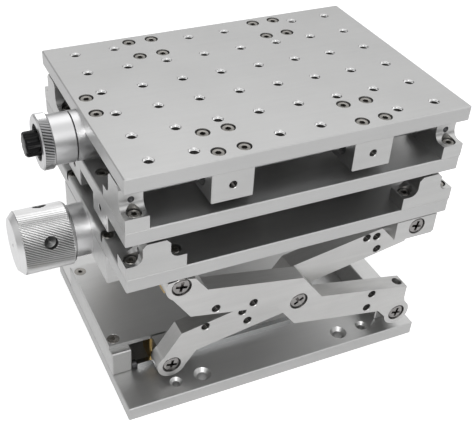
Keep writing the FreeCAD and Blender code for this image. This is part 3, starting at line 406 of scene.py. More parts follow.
head_steel = metal("socket screw steel", satin,
                   {"Colour": (0.27, 0.26, 0.243, 1.0), "Roughness": 0.30, "Grain": 2600.0,
                    "Clouding": 0.12, "Marks": 0.06}, bump_depth=0.000004)
for node_name, body in (("top_plate_screws", "x_stage"), ("middle_plate_screws", "y_stage"),
                        ("lift_plate_screws", "lift_table")):
    screws = bmesh.new()
    for low, high, top_width in separate_solids(node_name):
        centre = (low + high) / 2
        shank = high.z - low.z - SOCKET_HEAD_HEIGHT
        if top_width > HEAD_UP_WIDTH:
            seat = Matrix.Translation((centre.x, centre.y, high.z - SOCKET_HEAD_HEIGHT))
        else:
            seat = Matrix.Translation((centre.x, centre.y, low.z + SOCKET_HEAD_HEIGHT))
            seat = seat @ Matrix.Rotation(math.pi, 4, "X")
        socket_screw(screws, seat @ Matrix.Rotation(SCREW_TURN_STEP * len(screws.verts), 4, "Z"), shank)
    piece_from(node_name.replace("_screws", "_socket_screws"), screws, head_steel, body,
               (node_name,))

# Cover screws: countersunk steel screws with a hexagon socket, level with the cover's top. They hold
# the cover on the end block.
COVER_HEAD_RADIUS = 0.00395
COVER_HEAD_EDGE = 0.00012
COVER_HEX_RADIUS = 0.00144
COVER_HEX_MOUTH = 1.15
COVER_HEX_BREAK = 0.0001
COVER_HEX_DEPTH = 0.0018
cover_screws = bmesh.new()
for low, high, top_width in separate_solids("cover_screws"):
    sink = COVER_HEAD_RADIUS - SOCKET_SHANK_RADIUS
    part = loft([ring(SOCKET_SHANK_RADIUS, low.z - high.z),
                 ring(SOCKET_SHANK_RADIUS, -sink),
                 ring(COVER_HEAD_RADIUS, -COVER_HEAD_EDGE),
                 ring(COVER_HEAD_RADIUS - COVER_HEAD_EDGE, 0.0),
                 ring(COVER_HEX_RADIUS * COVER_HEX_MOUTH, 0.0),
                 hexagon(COVER_HEX_RADIUS, -COVER_HEX_BREAK),
                 hexagon(COVER_HEX_RADIUS, -COVER_HEX_DEPTH)])
    head_place = Vector(((low.x + high.x) / 2, (low.y + high.y) / 2, high.z))
    join_into(cover_screws, part, Matrix.Translation(head_place))
piece_from("cover_countersunk_screws", cover_screws, head_steel, "base", ("cover_screws",))

# Pivot screws: shouldered screws with a broad low pan head and a cross recess, nickel plated. The
# arms turn on their shoulders.
PAN_RADIUS = 0.0057
PAN_HEIGHT = 0.003
PAN_PROFILE = ((1.0, 0.0), (1.0, 0.45), (0.965, 0.68), (0.88, 0.85), (0.76, 0.95), (0.63, 1.0))
CROSS_TIP_RADIUS = 0.0036
CROSS_HALF_WIDTH = 0.0009
CROSS_DEPTH = 0.0027
CROSS_TIP_TAPER = 0.62
CROSS_WIDTH_TAPER = 0.8
PAN_SEGMENTS = 48
SHOULDER_RADIUS = 0.00398
THREAD_END_RADIUS = 0.00298
PIVOT_THREAD_LENGTH = 0.009
PIVOT_FIRST_TURN = 0.5
PIVOT_TURN_STEP = 1.1
PIVOT_TURN_PER_METRE = 10.0


def cross_outline(tip_radius, half_width, height):
    """Points of the cross recess: two corners at each tip, one in each inner corner."""
    corners = []
    for arm in range(4):
        turn = Matrix.Rotation(arm * math.pi / 2, 2)
        for spot in ((tip_radius, -half_width), (tip_radius, half_width), (half_width, half_width)):
            corners.append(turn @ Vector(spot))
    return straight_sided(corners, height, PAN_SEGMENTS)


def pan_screw(mesh, place, shoulder_length, thread_length):
    """One pivot screw, its head's underside at the origin of place and its head along Z."""
    outlines = []
    if thread_length:
        outlines.append(ring(THREAD_END_RADIUS, -shoulder_length - thread_length, PAN_SEGMENTS))
        outlines.append(ring(THREAD_END_RADIUS, -shoulder_length, PAN_SEGMENTS))
    outlines += [ring(SHOULDER_RADIUS, -shoulder_length, PAN_SEGMENTS),
                 ring(SHOULDER_RADIUS, 0.0, PAN_SEGMENTS)]
    outlines += [ring(PAN_RADIUS * reach, PAN_HEIGHT * rise, PAN_SEGMENTS) for reach, rise in PAN_PROFILE]
    outlines += [cross_outline(CROSS_TIP_RADIUS, CROSS_HALF_WIDTH, PAN_HEIGHT),
                 cross_outline(CROSS_TIP_RADIUS * CROSS_TIP_TAPER, CROSS_HALF_WIDTH * CROSS_WIDTH_TAPER,
                               PAN_HEIGHT - CROSS_DEPTH)]
    join_into(mesh, loft(outlines), place)


nickel = metal("nickel plate", satin,
               {"Colour": (0.29, 0.28, 0.275, 1.0), "Roughness": 0.09, "Grain": 900.0,
                "Clouding": 0.12, "Marks": 0.05}, bump_depth=0.000003)
for node_name, body, threaded in (("upper_slide_pivot_screws", "upper_crosshead", True),
                                  ("lower_slide_pivot_screws", "lower_crosshead", True),
                                  ("centre_pivot_screws", "inner_arms", True),
                                  ("base_pivot_screws", "base", True),
                                  ("upper_pivot_screws", "lift_table", False)):
    screws = bmesh.new()
    for index, (low, high, top_width) in enumerate(separate_solids(node_name)):
        centre = (low + high) / 2
        side = -1 if centre.y < 0 else 1
        outer_y = low.y if side < 0 else high.y
        length = high.y - low.y - PAN_HEIGHT
        thread_length = PIVOT_THREAD_LENGTH if threaded else 0.0
        turn = Matrix.Rotation(side * -math.pi / 2, 4, "X")
        driven_home = PIVOT_FIRST_TURN + PIVOT_TURN_STEP * index + PIVOT_TURN_PER_METRE * centre.x
        spin = Matrix.Rotation(driven_home, 4, "Z")
        seat = Matrix.Translation((centre.x, outer_y - side * PAN_HEIGHT, centre.z)) @ turn @ spin
        pan_screw(screws, seat, length - thread_length, thread_length)
    piece_from(node_name.replace("_screws", "_pan_screws"), screws, nickel, body, (node_name,))

# Lead screws: steel rods with a rolled trapezoidal thread and a plain journal at their outer end.
# Each turns with its wheel or knob.
THREAD_STEPS = 28
THREAD_OVERLAP = 0.0001
THREAD_PROFILE = ((0.0, 1.0), (0.22, 1.0), (0.36, 0.0), (0.72, 0.0), (0.86, 1.0), (1.0, 1.0))
SLIDE_SCREW = {"journal": 0.003, "radius": 0.004, "lead": 0.004, "depth": 0.0007}
LIFT_SCREW = {"journal": 0.005, "radius": 0.006, "lead": 0.003, "depth": 0.0008}


def axis_frame(axis, at, way=1):
    """Matrix that carries a piece drawn along +Z onto an axis through a point, with or against it."""
    turns = {"x": Matrix.Rotation(way * math.pi / 2, 4, "Y"),
             "y": Matrix.Rotation(-way * math.pi / 2, 4, "X"),
             "z": Matrix.Identity(4)}
    return Matrix.Translation(at) @ turns[axis]


def outer_way(axis, node_name):
    """Index of a drive's axis, the sign of its way out, and the node's inner and outer end on it."""
    low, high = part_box(node_name)
    along = "xy".index(axis)
    if axis == "x":
        return along, -1, high[along], low[along]
    return along, 1, low[along], high[along]


def drive_frame(axis, node_name):
    """The frame of a drive's axis, through the middle of a node."""
    low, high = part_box(node_name)
    centre = [(low[index] + high[index]) / 2 for index in range(3)]
    centre["xy".index(axis)] = 0.0
    return axis_frame(axis, centre)


def thread(mesh, start, end, sizes, place):
    """A threaded rod along Z from start to end: one lead of the profile, swept as a helix."""
    part = bmesh.new()
    radius, lead, depth = sizes["radius"], sizes["lead"], sizes["depth"]
    turns = math.ceil((end - start) / lead) + 2
    low = start - lead
    points = [part.verts.new((radius - sunk * depth, 0.0, low + share * lead))
              for share, sunk in THREAD_PROFILE]
    edges = [part.edges.new(pair) for pair in zip(points, points[1:])]
    bmesh.ops.spin(part, geom=points + edges, cent=(0, 0, 0), axis=(0, 0, 1),
                   dvec=(0, 0, lead / THREAD_STEPS), angle=math.tau * turns, steps=THREAD_STEPS * turns,
                   use_merge=False)
    bmesh.ops.remove_doubles(part, verts=part.verts, dist=lead * 1e-3)
    for height, outwards in ((start, -1), (end, 1)):
        whole = part.verts[:] + part.edges[:] + part.faces[:]
        bmesh.ops.bisect_plane(part, geom=whole, plane_co=(0, 0, height), plane_no=(0, 0, outwards),
                               clear_outer=True)
    bmesh.ops.holes_fill(part, edges=[edge for edge in part.edges if edge.is_boundary], sides=0)
    join_into(mesh, part, place)


def threaded_rod(name, axis, replaced, bearing, sizes, body):
    """A lead screw: a journal from its outer end to its bearing's inner face, and thread from there."""
    along, outwards, inner, outer = outer_way(axis, replaced)
    low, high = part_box(replaced)
    place = axis_frame(axis, (0.0, 0.0, (low[2] + high[2]) / 2))
    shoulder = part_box(bearing)[1 if outwards < 0 else 0][along] - outwards * THREAD_OVERLAP
    rod = bmesh.new()
    join_into(rod, loft([ring(sizes["journal"], height) for height in sorted((outer, shoulder))]), place)
    thread(rod, *sorted((shoulder, inner)), sizes, place)
    piece_from(name, rod, {"x": rolled_x, "y": rolled_y}[axis], body, (replaced,))


ROLLED_COLOUR = (0.46, 0.455, 0.45, 1.0)
ROLLED_ROUGHNESS = 0.28
ROLLED_LINE_DEPTH = 0.000004
rolled_x = turned_metal("rolled thread along x", ROLLED_COLOUR, ROLLED_ROUGHNESS, "x", ROLLED_LINE_DEPTH)
rolled_y = turned_metal("rolled thread along y", ROLLED_COLOUR, ROLLED_ROUGHNESS, "y", ROLLED_LINE_DEPTH)
threaded_rod("x_threaded_rod", "x", "x_lead_screw", "x_screw_housing", SLIDE_SCREW, "x_knob")
threaded_rod("y_threaded_rod", "y", "y_lead_screw", "y_screw_housing", SLIDE_SCREW, "y_knob")
threaded_rod("z_threaded_rod", "x", "z_lead_screw", "z_bearing_panel", LIFT_SCREW, "z_screw")

# Lift knob: aluminium, knurled in one direction between two turned chamfers, with four cross holes
# for a tommy bar and a centre hole in its end. It is screwed onto the lift screw's journal.
LIFT_KNOB_LEAN = 30.0
KNURL_STEPS = 16
KNURL_SHOULDER = 0.0002
LIFT_KNOB_TEETH = 72
LIFT_KNOB_KNURL_DEPTH = 0.0008
LIFT_KNOB_CHAMFER = 0.0034
LIFT_KNOB_BACK_CHAMFER = 0.0014
KNURL_RUN_OUT = 0.0002
TOMMY_RADIUS = 0.004
TOMMY_DEPTH = 0.009
TOMMY_FROM_END = 0.0193
TOMMY_FIRST_ANGLE = 64.0
CENTRE_HOLE_RADIUS = 0.0015
CENTRE_HOLE_DEPTH = 0.004
JOURNAL_SEAT_RADIUS = 0.00505
JOURNAL_SEAT_DEPTH = 0.0265
CENTRE_HOLE_BREAK = 0.0004
TOMMY_POINT_LENGTH = 0.0023
TOMMY_POINT_RADIUS = 0.0001
TOMMY_MOUTH_WIDENING = 0.0005
TOMMY_MOUTH_START = 0.00075
TOMMY_MOUTH_END = 0.00025
TOMMY_PAST = 0.002
LIFT_KNOB_COLOUR = (0.80, 0.80, 0.80, 1.0)
LIFT_KNOB_ROUGHNESS = 0.34
# Share of the colour kept at a knurl groove's floor: painted shade.
GROOVE_PAINTED_SHADE = 0.3

# Painted shade in the grooves of a knurl: the colour darkens towards their floor, and everything nearer the
# axis within the knurled length, such as the tommy holes' walls and the wheel's recess, takes the full
# shade.
grooves, grooves_in, grooves_out = new_group(
    "knurl grooves painted shade",
    [("Place", "Vector", None), ("Colour", "Color", (0.8, 0.8, 0.8, 1.0)), ("Axis Place", "Vector", None),
     ("Axis", "Vector", (1.0, 0.0, 0.0)), ("Start", "Float", 0.0), ("End", "Float", 0.01),
     ("Floor", "Float", 0.01), ("Top", "Float", 0.011), ("Shade", "Float", GROOVE_PAINTED_SHADE)],
    [("Colour", "Color")])
from_axis = add_node(grooves, "ShaderNodeVectorMath", [(0, grooves_in["Place"]),
                     (1, grooves_in["Axis Place"])], operation="SUBTRACT")
across_axis = add_node(grooves, "ShaderNodeVectorMath", [(0, from_axis.outputs["Vector"]),
                       (1, grooves_in["Axis"])], operation="CROSS_PRODUCT")
axis_distance = add_node(grooves, "ShaderNodeVectorMath", [(0, across_axis.outputs["Vector"])],
                         operation="LENGTH")
along_axis = add_node(grooves, "ShaderNodeVectorMath", [(0, grooves_in["Place"]),
                      (1, grooves_in["Axis"])], operation="DOT_PRODUCT")
past_start = maths(grooves, "GREATER_THAN", along_axis.outputs["Value"], grooves_in["Start"])
before_end = maths(grooves, "LESS_THAN", along_axis.outputs["Value"], grooves_in["End"])
knurled_part = maths(grooves, "MULTIPLY", past_start, before_end)
depth_left = add_node(grooves, "ShaderNodeMapRange", [("Value", axis_distance.outputs["Value"]),
                      ("From Min", grooves_in["Floor"]), ("From Max", grooves_in["Top"]),
                      ("To Min", grooves_in["Shade"])], interpolation_type="SMOOTHSTEP")
shade_lost = maths(grooves, "SUBTRACT", 1.0, depth_left.outputs["Result"])
loss = maths(grooves, "MULTIPLY", knurled_part, shade_lost)
painted_groove_shade = maths(grooves, "SUBTRACT", 1.0, loss)
groove_tone = add_node(grooves, "ShaderNodeVectorMath",
                       [(0, grooves_in["Colour"]), ("Scale", painted_groove_shade)], operation="SCALE")
grooves.links.new(groove_tone.outputs["Vector"], grooves_out["Colour"])


def paint_shade_in_grooves(material, centre, axis, ends, floor, top):
    """Pass a material's colour through the group that paints shade into the knurl grooves."""
    tree = material.node_tree
    colour = tree.nodes["Principled BSDF"].inputs["Base Color"]
    node = add_node(tree, "ShaderNodeGroup", node_tree=grooves)
    tree.links.new(tree.nodes["Texture Coordinate"].outputs["Object"], node.inputs["Place"])
    tree.links.new(colour.links[0].from_socket, node.inputs["Colour"])
    for key, value in (("Axis Place", centre), ("Axis", axis), ("Start", min(ends)), ("End", max(ends)),
                       ("Floor", floor), ("Top", top), ("Shade", GROOVE_PAINTED_SHADE)):
        node.inputs[key].default_value = value
    tree.links.new(node.outputs["Colour"], colour)


def knurl(start, end, radius, teeth, depth, lean):
    """Outlines of slanting teeth round Z from start to end, and how far the last one is turned."""
    sides = 2 * teeth
    slant = (end - start) * math.tan(math.radians(lean)) / radius
    turned = round(slant / math.tau * sides) * math.tau / sides
    outlines = []
    for step in range(KNURL_STEPS + 1):
        share = step / KNURL_STEPS
        outline = ring(radius, start + (end - start) * share, sides, turned * share)
        for point in outline[::2]:
            point.xy *= 1 - depth / radius
        outlines.append(outline)
    return outlines, turned


def cut_away(piece, cutter_mesh):
    """Take a closed mesh away from a piece, and leave the result as the piece's own mesh."""
    cutter_data = mesh_data("cutter", cutter_mesh)
    cutter = new_object("cutter", cutter_data)
    cut = piece.modifiers.new("cut", "BOOLEAN")
    cut.operation = "DIFFERENCE"
    cut.solver = "EXACT"
    cut.object = cutter
    cut_piece = piece.evaluated_get(bpy.context.evaluated_depsgraph_get())
    result = bpy.data.meshes.new_from_object(cut_piece)
    piece.modifiers.remove(cut)
    piece.data = result
    bpy.data.objects.remove(cutter)
    bpy.data.meshes.remove(cutter_data)


knob_low, knob_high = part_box("z_knob")
knob_radius = (knob_high[1] - knob_low[1]) / 2
knob_place = axis_frame("x", (0.0, 0.0, (knob_low[2] + knob_high[2]) / 2))
sides = 2 * LIFT_KNOB_TEETH
front, back = knob_low[0], knob_high[0]
plain_radius = knob_radius - KNURL_SHOULDER
outlines = [ring(CENTRE_HOLE_RADIUS, front + CENTRE_HOLE_DEPTH, sides),
            ring(CENTRE_HOLE_RADIUS, front + CENTRE_HOLE_BREAK, sides),
            ring(CENTRE_HOLE_RADIUS + CENTRE_HOLE_BREAK, front, sides),
            ring(knob_radius - LIFT_KNOB_CHAMFER, front, sides),
            ring(plain_radius, front + LIFT_KNOB_CHAMFER - KNURL_SHOULDER, sides)]
knurled = (front + LIFT_KNOB_CHAMFER + KNURL_RUN_OUT, back - LIFT_KNOB_BACK_CHAMFER - KNURL_RUN_OUT)
teeth, turned = knurl(*knurled, knob_radius, LIFT_KNOB_TEETH, LIFT_KNOB_KNURL_DEPTH, LIFT_KNOB_LEAN)
outlines += teeth
outlines += [ring(plain_radius, back - LIFT_KNOB_BACK_CHAMFER, sides, turned),
             ring(knob_radius - LIFT_KNOB_BACK_CHAMFER, back, sides, turned),
             ring(JOURNAL_SEAT_RADIUS, back, sides, turned),
             ring(JOURNAL_SEAT_RADIUS, back - JOURNAL_SEAT_DEPTH, sides, turned)]
finished_knob = bmesh.new()
join_into(finished_knob, loft(outlines), knob_place)
turned_knurl = turned_metal("knurled aluminium", LIFT_KNOB_COLOUR, LIFT_KNOB_ROUGHNESS, "x")
# The knob's grooves and tommy holes get painted shade.
paint_shade_in_grooves(turned_knurl, knob_place.translation, (1.0, 0.0, 0.0), knurled,
               knob_radius - LIFT_KNOB_KNURL_DEPTH, plain_radius)
lift_knob = piece_from("lift_knob_knurled", finished_knob, turned_knurl, "z_screw",
                       ("z_knob",), FLAT_FACE_ANGLE)
tommy_holes = bmesh.new()
hole_x = front + TOMMY_FROM_END
hole_floor = knob_radius - TOMMY_DEPTH
for index in range(4):
    drill = loft([ring(TOMMY_POINT_RADIUS, hole_floor),
                  ring(TOMMY_RADIUS, hole_floor + TOMMY_POINT_LENGTH),
                  ring(TOMMY_RADIUS, knob_radius - TOMMY_MOUTH_START),
                  ring(TOMMY_RADIUS + TOMMY_MOUTH_WIDENING, knob_radius - TOMMY_MOUTH_END),
                  ring(TOMMY_RADIUS + TOMMY_MOUTH_WIDENING, knob_radius + TOMMY_PAST)])
    turn = Matrix.Rotation(math.radians(TOMMY_FIRST_ANGLE + 90.0 * index), 4, "X")
    join_into(tommy_holes, drill, Matrix.Translation((hole_x, 0, knob_place.translation.z)) @ turn)
cut_away(lift_knob, tommy_holes)
lift_knob.data.set_sharp_from_angle(angle=math.radians(FLAT_FACE_ANGLE))

# Hand wheels of the two slides: a smooth aluminium barrel with a wider ring, knurled in one direction,
# and a shallow recess in its face for the locking knob.
WHEEL_TEETH = 56
WHEEL_KNURL_DEPTH = 0.0013
WHEEL_LEAN = 18.0
WHEEL_RING_RADIUS = 0.016
WHEEL_RING_LENGTH = 0.0068
WHEEL_RECESS_RADIUS = 0.0105
WHEEL_RECESS_DEPTH = 0.0025
WHEEL_GRIP = 0.0145
WHEEL_BORE = 0.00302
WHEEL_STUD_HOLE = 0.00252
WHEEL_EDGE = 0.0005
WHEEL_RING_EDGE = 0.0008
WHEEL_RECESS_BREAK = 0.0002


def hand_wheel(name, axis, replaced, body, housing):
    """One wheel, drawn along Z from its barrel end to its ring end and placed on its axis."""
    along, outwards, start, end = outer_way(axis, replaced)
    across = 1 - along
    housing_low, housing_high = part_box(housing)
    barrel = (housing_high[across] - housing_low[across]) / 2
    sides = 2 * WHEEL_TEETH
    ring_start = end - outwards * WHEEL_RING_LENGTH
    first = ring_start + outwards * (WHEEL_EDGE + KNURL_RUN_OUT)
    last = end - outwards * (WHEEL_RING_EDGE + KNURL_RUN_OUT)
    teeth, turned = knurl(first, last, WHEEL_RING_RADIUS, WHEEL_TEETH, WHEEL_KNURL_DEPTH, WHEEL_LEAN)
    plain = WHEEL_RING_RADIUS - KNURL_SHOULDER
    floor = end - outwards * WHEEL_RECESS_DEPTH
    grip = start + outwards * WHEEL_GRIP
    near = [(WHEEL_BORE, start), (barrel - WHEEL_EDGE, start), (barrel, start + outwards * WHEEL_EDGE),
            (barrel, ring_start), (plain - WHEEL_EDGE, ring_start),
            (plain, ring_start + outwards * WHEEL_EDGE)]
    far = [(plain, end - outwards * WHEEL_RING_EDGE), (plain - WHEEL_RING_EDGE, end),
           (WHEEL_RECESS_RADIUS + WHEEL_RECESS_BREAK, end),
           (WHEEL_RECESS_RADIUS, end - outwards * WHEEL_RECESS_BREAK),
           (WHEEL_RECESS_RADIUS, floor), (WHEEL_STUD_HOLE, floor), (WHEEL_STUD_HOLE, grip),
           (WHEEL_BORE, grip), (WHEEL_BORE, start)]
    outlines = [ring(radius, height, sides) for radius, height in near] + teeth
    outlines += [ring(radius, height, sides, turned) for radius, height in far]
    wheel = loft(outlines, closed=False)
    bmesh.ops.remove_doubles(wheel, verts=wheel.verts, dist=WELD_DISTANCE)
    place = drive_frame(axis, replaced)
    done = bmesh.new()
    join_into(done, wheel, place)
    material = turned_metal(name.replace("_", " "), TURNED_COLOUR, TURNED_ROUGHNESS, axis)
    axis_way = [1.0 if index == along else 0.0 for index in range(3)]
    # The ring's grooves and the recess in the wheel's face get painted shade.
    paint_shade_in_grooves(material, place.translation, axis_way, (first, last),
                   WHEEL_RING_RADIUS - WHEEL_KNURL_DEPTH, plain)
    piece_from(name, done, material, body, (replaced,), FLAT_FACE_ANGLE)


hand_wheel("x_wheel_knurled", "x", "x_handwheel", "x_knob", "x_screw_housing")
hand_wheel("y_wheel_knurled", "y", "y_handwheel", "y_knob", "y_screw_housing")

# Locking knobs: moulded black plastic with eight rounded grooves. The stud of each goes into the
# recess in the face of its hand wheel.
LOCK_RADIUS = 0.0073
LOCK_LENGTH = 0.0099
LOCK_GROOVES = 8
LOCK_GROOVE_DEPTH = 0.0009
LOCK_SEGMENTS = 96
LOCK_STUD_RADIUS = 0.0025
LOCK_GROOVE_SHARPNESS = 2.5
LOCK_COLLAR = ((0.0, 0.0002, 0.0), (0.0003, 0.0, 0.0), (0.0014, 0.0, 0.0), (0.0024, 0.0, 1.0))
LOCK_CROWN = ((0.0014, 0.0, 1.0), (0.0007, 0.0002, 1.0), (0.0002, 0.0007, 0.9), (0.0, 0.0015, 0.7))
LOCK_SMOOTH_ANGLE = 40.0
PLASTIC_SPECULAR = 0.12


def grooved_ring(radius, groove_depth, height):
    """A ring whose radius dips at each of the grooves."""
    points = ring(1.0, height, LOCK_SEGMENTS)
    for point in points:
        wave = math.sin(LOCK_GROOVES / 2 * math.atan2(point.y, point.x)) ** 2
        point.xy *= radius - groove_depth * wave ** LOCK_GROOVE_SHARPNESS
    return points


def lock_knob(name, axis, replaced, body):
    """One knob with its stud, drawn along Z from the stud's inner end and placed on its axis."""
    outwards, inner, outer = outer_way(axis, replaced)[1:]
    base = outer - outwards * LOCK_LENGTH
    profile = [(base + outwards * up, inset, groove) for up, inset, groove in LOCK_COLLAR]
    profile += [(outer - outwards * down, inset, groove) for down, inset, groove in LOCK_CROWN]
    outlines = [grooved_ring(LOCK_STUD_RADIUS, 0.0, inner), grooved_ring(LOCK_STUD_RADIUS, 0.0, base)]
    outlines += [grooved_ring(LOCK_RADIUS - inset, LOCK_GROOVE_DEPTH * groove, height)
                 for height, inset, groove in profile]
    done = bmesh.new()
    join_into(done, loft(outlines), drive_frame(axis, replaced))
    piece_from(name, done, black_plastic, body, (replaced,), LOCK_SMOOTH_ANGLE)


black_plastic = metal("black plastic", satin,
                      {"Colour": (0.004, 0.004, 0.0045, 1.0), "Roughness": 0.26, "Grain": 1400.0,
                       "Clouding": 0.1, "Marks": 0.03}, bump_depth=0.00002, metallic=0.0)
plastic_shader = black_plastic.node_tree.nodes["Principled BSDF"]
plastic_shader.inputs["Specular IOR Level"].default_value = PLASTIC_SPECULAR
lock_knob("x_locking_knob", "x", "x_thumb_screw", "x_knob")
lock_knob("y_locking_knob", "y", "y_thumb_screw", "y_knob")

# Open holes of the table, the arms and the bearing blocks: drilled through, their mouths broken, and
# tapped. A fine ridge winds down the wall of each. The ridge is painted near black as the shade down
# the hole; in the table its top turns are painted bright as a highlight at the mouth.
TAP_PITCH = 0.0008
TAP_RIDGE = 0.00032
TAP_TURNS = 6
TAP_STEPS = 14
TAP_START = -0.0002
TAP_CREST = 0.45
TAP_END = 0.9
TAP_ROOT_SINK = 0.00005
# Top turns of each table hole that are painted bright: a painted highlight.
TABLE_HIGHLIGHT_TURNS = 2
LARGEST_TAPPED_HOLE = 0.0052
LARGEST_EDGE_HOLE = 0.0056
ARM_HOLE_RADIUS = 0.00275
BLOCK_HOLE_RADIUS = 0.0023
TABLE_HOLE_RADIUS = 0.0030
EDGE_HOLE_RADIUS = 0.0034
HOLE_BREAK = 0.0003
ROUNDNESS = 0.0002
WALL_SLOPE = 0.02


def tapped_holes(node_name, axis, tilt=0.0, largest=LARGEST_TAPPED_HOLE):
    """Place and ends of each small hole along an axis, in a frame tilted about Y."""
    along = "xyz".index(axis)
    flat = [index for index in range(3) if index != along]
    mesh = bmesh.new()
    mesh.from_mesh(nodes[node_name].data)
    bmesh.ops.remove_doubles(mesh, verts=mesh.verts, dist=WELD_DISTANCE)
    bmesh.ops.rotate(mesh, verts=mesh.verts, cent=(0, 0, 0), matrix=Matrix.Rotation(-tilt, 3, "Y"))
    mesh.normal_update()
    walls = {face for face in mesh.faces if abs(face.normal[along]) < WALL_SLOPE}
    holes = []
    for wall in connected(walls, lambda face: [other for edge in face.edges for other in edge.link_faces]):
        points = [vertex.co for face in wall for vertex in face.verts]
        low = [min(point[index] for point in points) for index in range(3)]
        high = [max(point[index] for point in points) for index in range(3)]
        spans = [high[index] - low[index] for index in flat]
        if max(spans) < largest and max(spans) - min(spans) < ROUNDNESS:
            centre = [(low[index] + high[index]) / 2 for index in range(3)]
            holes.append((centre, low[along], high[along]))
    mesh.free()
    return sorted(holes)


def tap_thread(mesh, radius, place, top, turns):
    """A ridge wound down a hole's wall; its mouth is at the origin of place and its way out is +Z."""
    part = bmesh.new()
    root = radius + TAP_ROOT_SINK
    spots = ((root, 0, top), (radius - TAP_RIDGE, 0, top - TAP_PITCH * TAP_CREST),
             (root, 0, top - TAP_PITCH * TAP_END))
    corners = [part.verts.new(spot) for spot in spots]
    edges = [part.edges.new((corners[index], corners[(index + 1) % 3])) for index in range(3)]
    swept = bmesh.ops.spin(part, geom=corners + edges, cent=(0, 0, 0), axis=(0, 0, 1),
                           dvec=(0, 0, -TAP_PITCH / TAP_STEPS), angle=math.tau * turns,
                           steps=TAP_STEPS * turns, use_merge=False, use_duplicate=False)
    last = [item for item in swept["geom_last"] if isinstance(item, bmesh.types.BMEdge)]
    bmesh.ops.contextual_create(part, geom=edges)
    bmesh.ops.contextual_create(part, geom=last)
    join_into(mesh, part, place)


def drilled(node_name, axis, radius, body, material, tilt):
    """A CAD node's mesh with its small holes opened to a radius and countersunk, in place of the node."""
    solid = bmesh.new()
    solid.from_mesh(nodes[node_name].data)
    bmesh.ops.remove_doubles(solid, verts=solid.verts, dist=WELD_DISTANCE)
    piece = piece_from(node_name + "_drilled", solid, material, body, (node_name,))
    mouth = radius + HOLE_BREAK
    drills = bmesh.new()
    for centre, low_end, high_end in tapped_holes(node_name, axis):
        centre["xyz".index(axis)] = (low_end + high_end) / 2
        reach = (high_end - low_end) / 2
        drill = loft([ring(mouth, -reach - HOLE_BREAK), ring(mouth, -reach),
                      ring(radius, -reach + HOLE_BREAK), ring(radius, reach - HOLE_BREAK),
                      ring(mouth, reach), ring(mouth, reach + HOLE_BREAK)])
        join_into(drills, drill, axis_frame(axis, centre, -1))
    edge_holes = tapped_holes(node_name, "z", tilt, LARGEST_EDGE_HOLE) if tilt else ()
    for centre, low_end, high_end in edge_holes:
        floor, edge, up = (low_end, high_end, 1) if tilt > 0 else (high_end, low_end, -1)
        drill = loft([ring(EDGE_HOLE_RADIUS, floor), ring(EDGE_HOLE_RADIUS, edge - up * HOLE_BREAK),
                      ring(EDGE_HOLE_RADIUS + HOLE_BREAK, edge),
                      ring(EDGE_HOLE_RADIUS + HOLE_BREAK, edge + up * HOLE_BREAK)])
        place = Matrix.Translation((centre[0], centre[1], 0.0))
        join_into(drills, drill, Matrix.Rotation(tilt, 4, "Y") @ place)
    cut_away(piece, drills)
    normals = piece.data.attributes.get("custom_normal")
    if normals:
        piece.data.attributes.remove(normals)
    piece.data.shade_smooth()
    piece.data.set_sharp_from_angle(angle=math.radians(FLAT_FACE_ANGLE))


def tapped(node_name, axis, radius, body):
    """Threads of a node's holes, cut in from the side that shows, painted dark as shade; the table's top
    turns are painted bright as a highlight.
    """
    threads = bmesh.new()
    along = "xyz".index(axis)
    bright = TABLE_HIGHLIGHT_TURNS if node_name == "top_plate" else 0
    for centre, low_end, high_end in tapped_holes(node_name, axis):
        outwards = 1 if axis == "z" or centre[along] > 0 else -1
        centre[along] = high_end if outwards > 0 else low_end
        place = axis_frame(axis, centre, outwards)
        tap_thread(threads, radius, place, TAP_START - bright * TAP_PITCH, TAP_TURNS - bright)
        if bright:
            tap_thread(upper_threads, radius, place, TAP_START, bright)
    piece_from(node_name + "_threads", threads, painted_shade_thread, body)


# Thread colours: a painted highlight for the table's top turns, painted shade for all the rest.
painted_highlight_thread = metal("cut thread painted bright as highlight", satin,
                      {"Colour": (0.80, 0.80, 0.80, 1.0), "Roughness": 0.18, "Grain": 2000.0,
                       "Clouding": 0.05, "Marks": 0.0}, bump_depth=0.000002)
painted_shade_thread = metal("cut thread painted dark as shade", satin,
                    {"Colour": (0.025, 0.024, 0.023, 1.0), "Roughness": 0.12, "Grain": 2000.0,
                     "Clouding": 0.1, "Marks": 0.0}, bump_depth=0.000002)
crossing_low, crossing_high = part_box("centre_pivot_screws")
foot_low, foot_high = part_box("base_pivot_screws")
arm_tilt = math.atan2(crossing_low[2] + crossing_high[2] - foot_low[2] - foot_high[2],
                      foot_low[0] + foot_high[0] - crossing_low[0] - crossing_high[0])
upper_threads = bmesh.new()
holed = [("top_plate", "z", TABLE_HOLE_RADIUS, "x_stage", "plate_aluminium", blasted_plate, 0.0),
         ("x_bearing_blocks", "y", BLOCK_HOLE_RADIUS, "x_stage", "milled_aluminium", milled_block, 0.0),
         ("y_bearing_blocks", "x", BLOCK_HOLE_RADIUS, "y_stage", "milled_aluminium", milled_block, 0.0)]
for side in ("front", "rear"):
    for arm, tilt in (("outer_arm", arm_tilt), ("inner_arm", -arm_tilt)):
        holed.append((f"{arm}_{side}", "y", ARM_HOLE_RADIUS, arm + "s", "arm_aluminium", ground_arm, tilt))
for node_name, axis, radius, body, slot_name, material, tilt in holed:
    tapped(node_name, axis, radius, body)
    drilled(node_name, axis, radius, body, material, tilt)
piece_from("table_upper_threads", upper_threads, painted_highlight_thread, "x_stage")

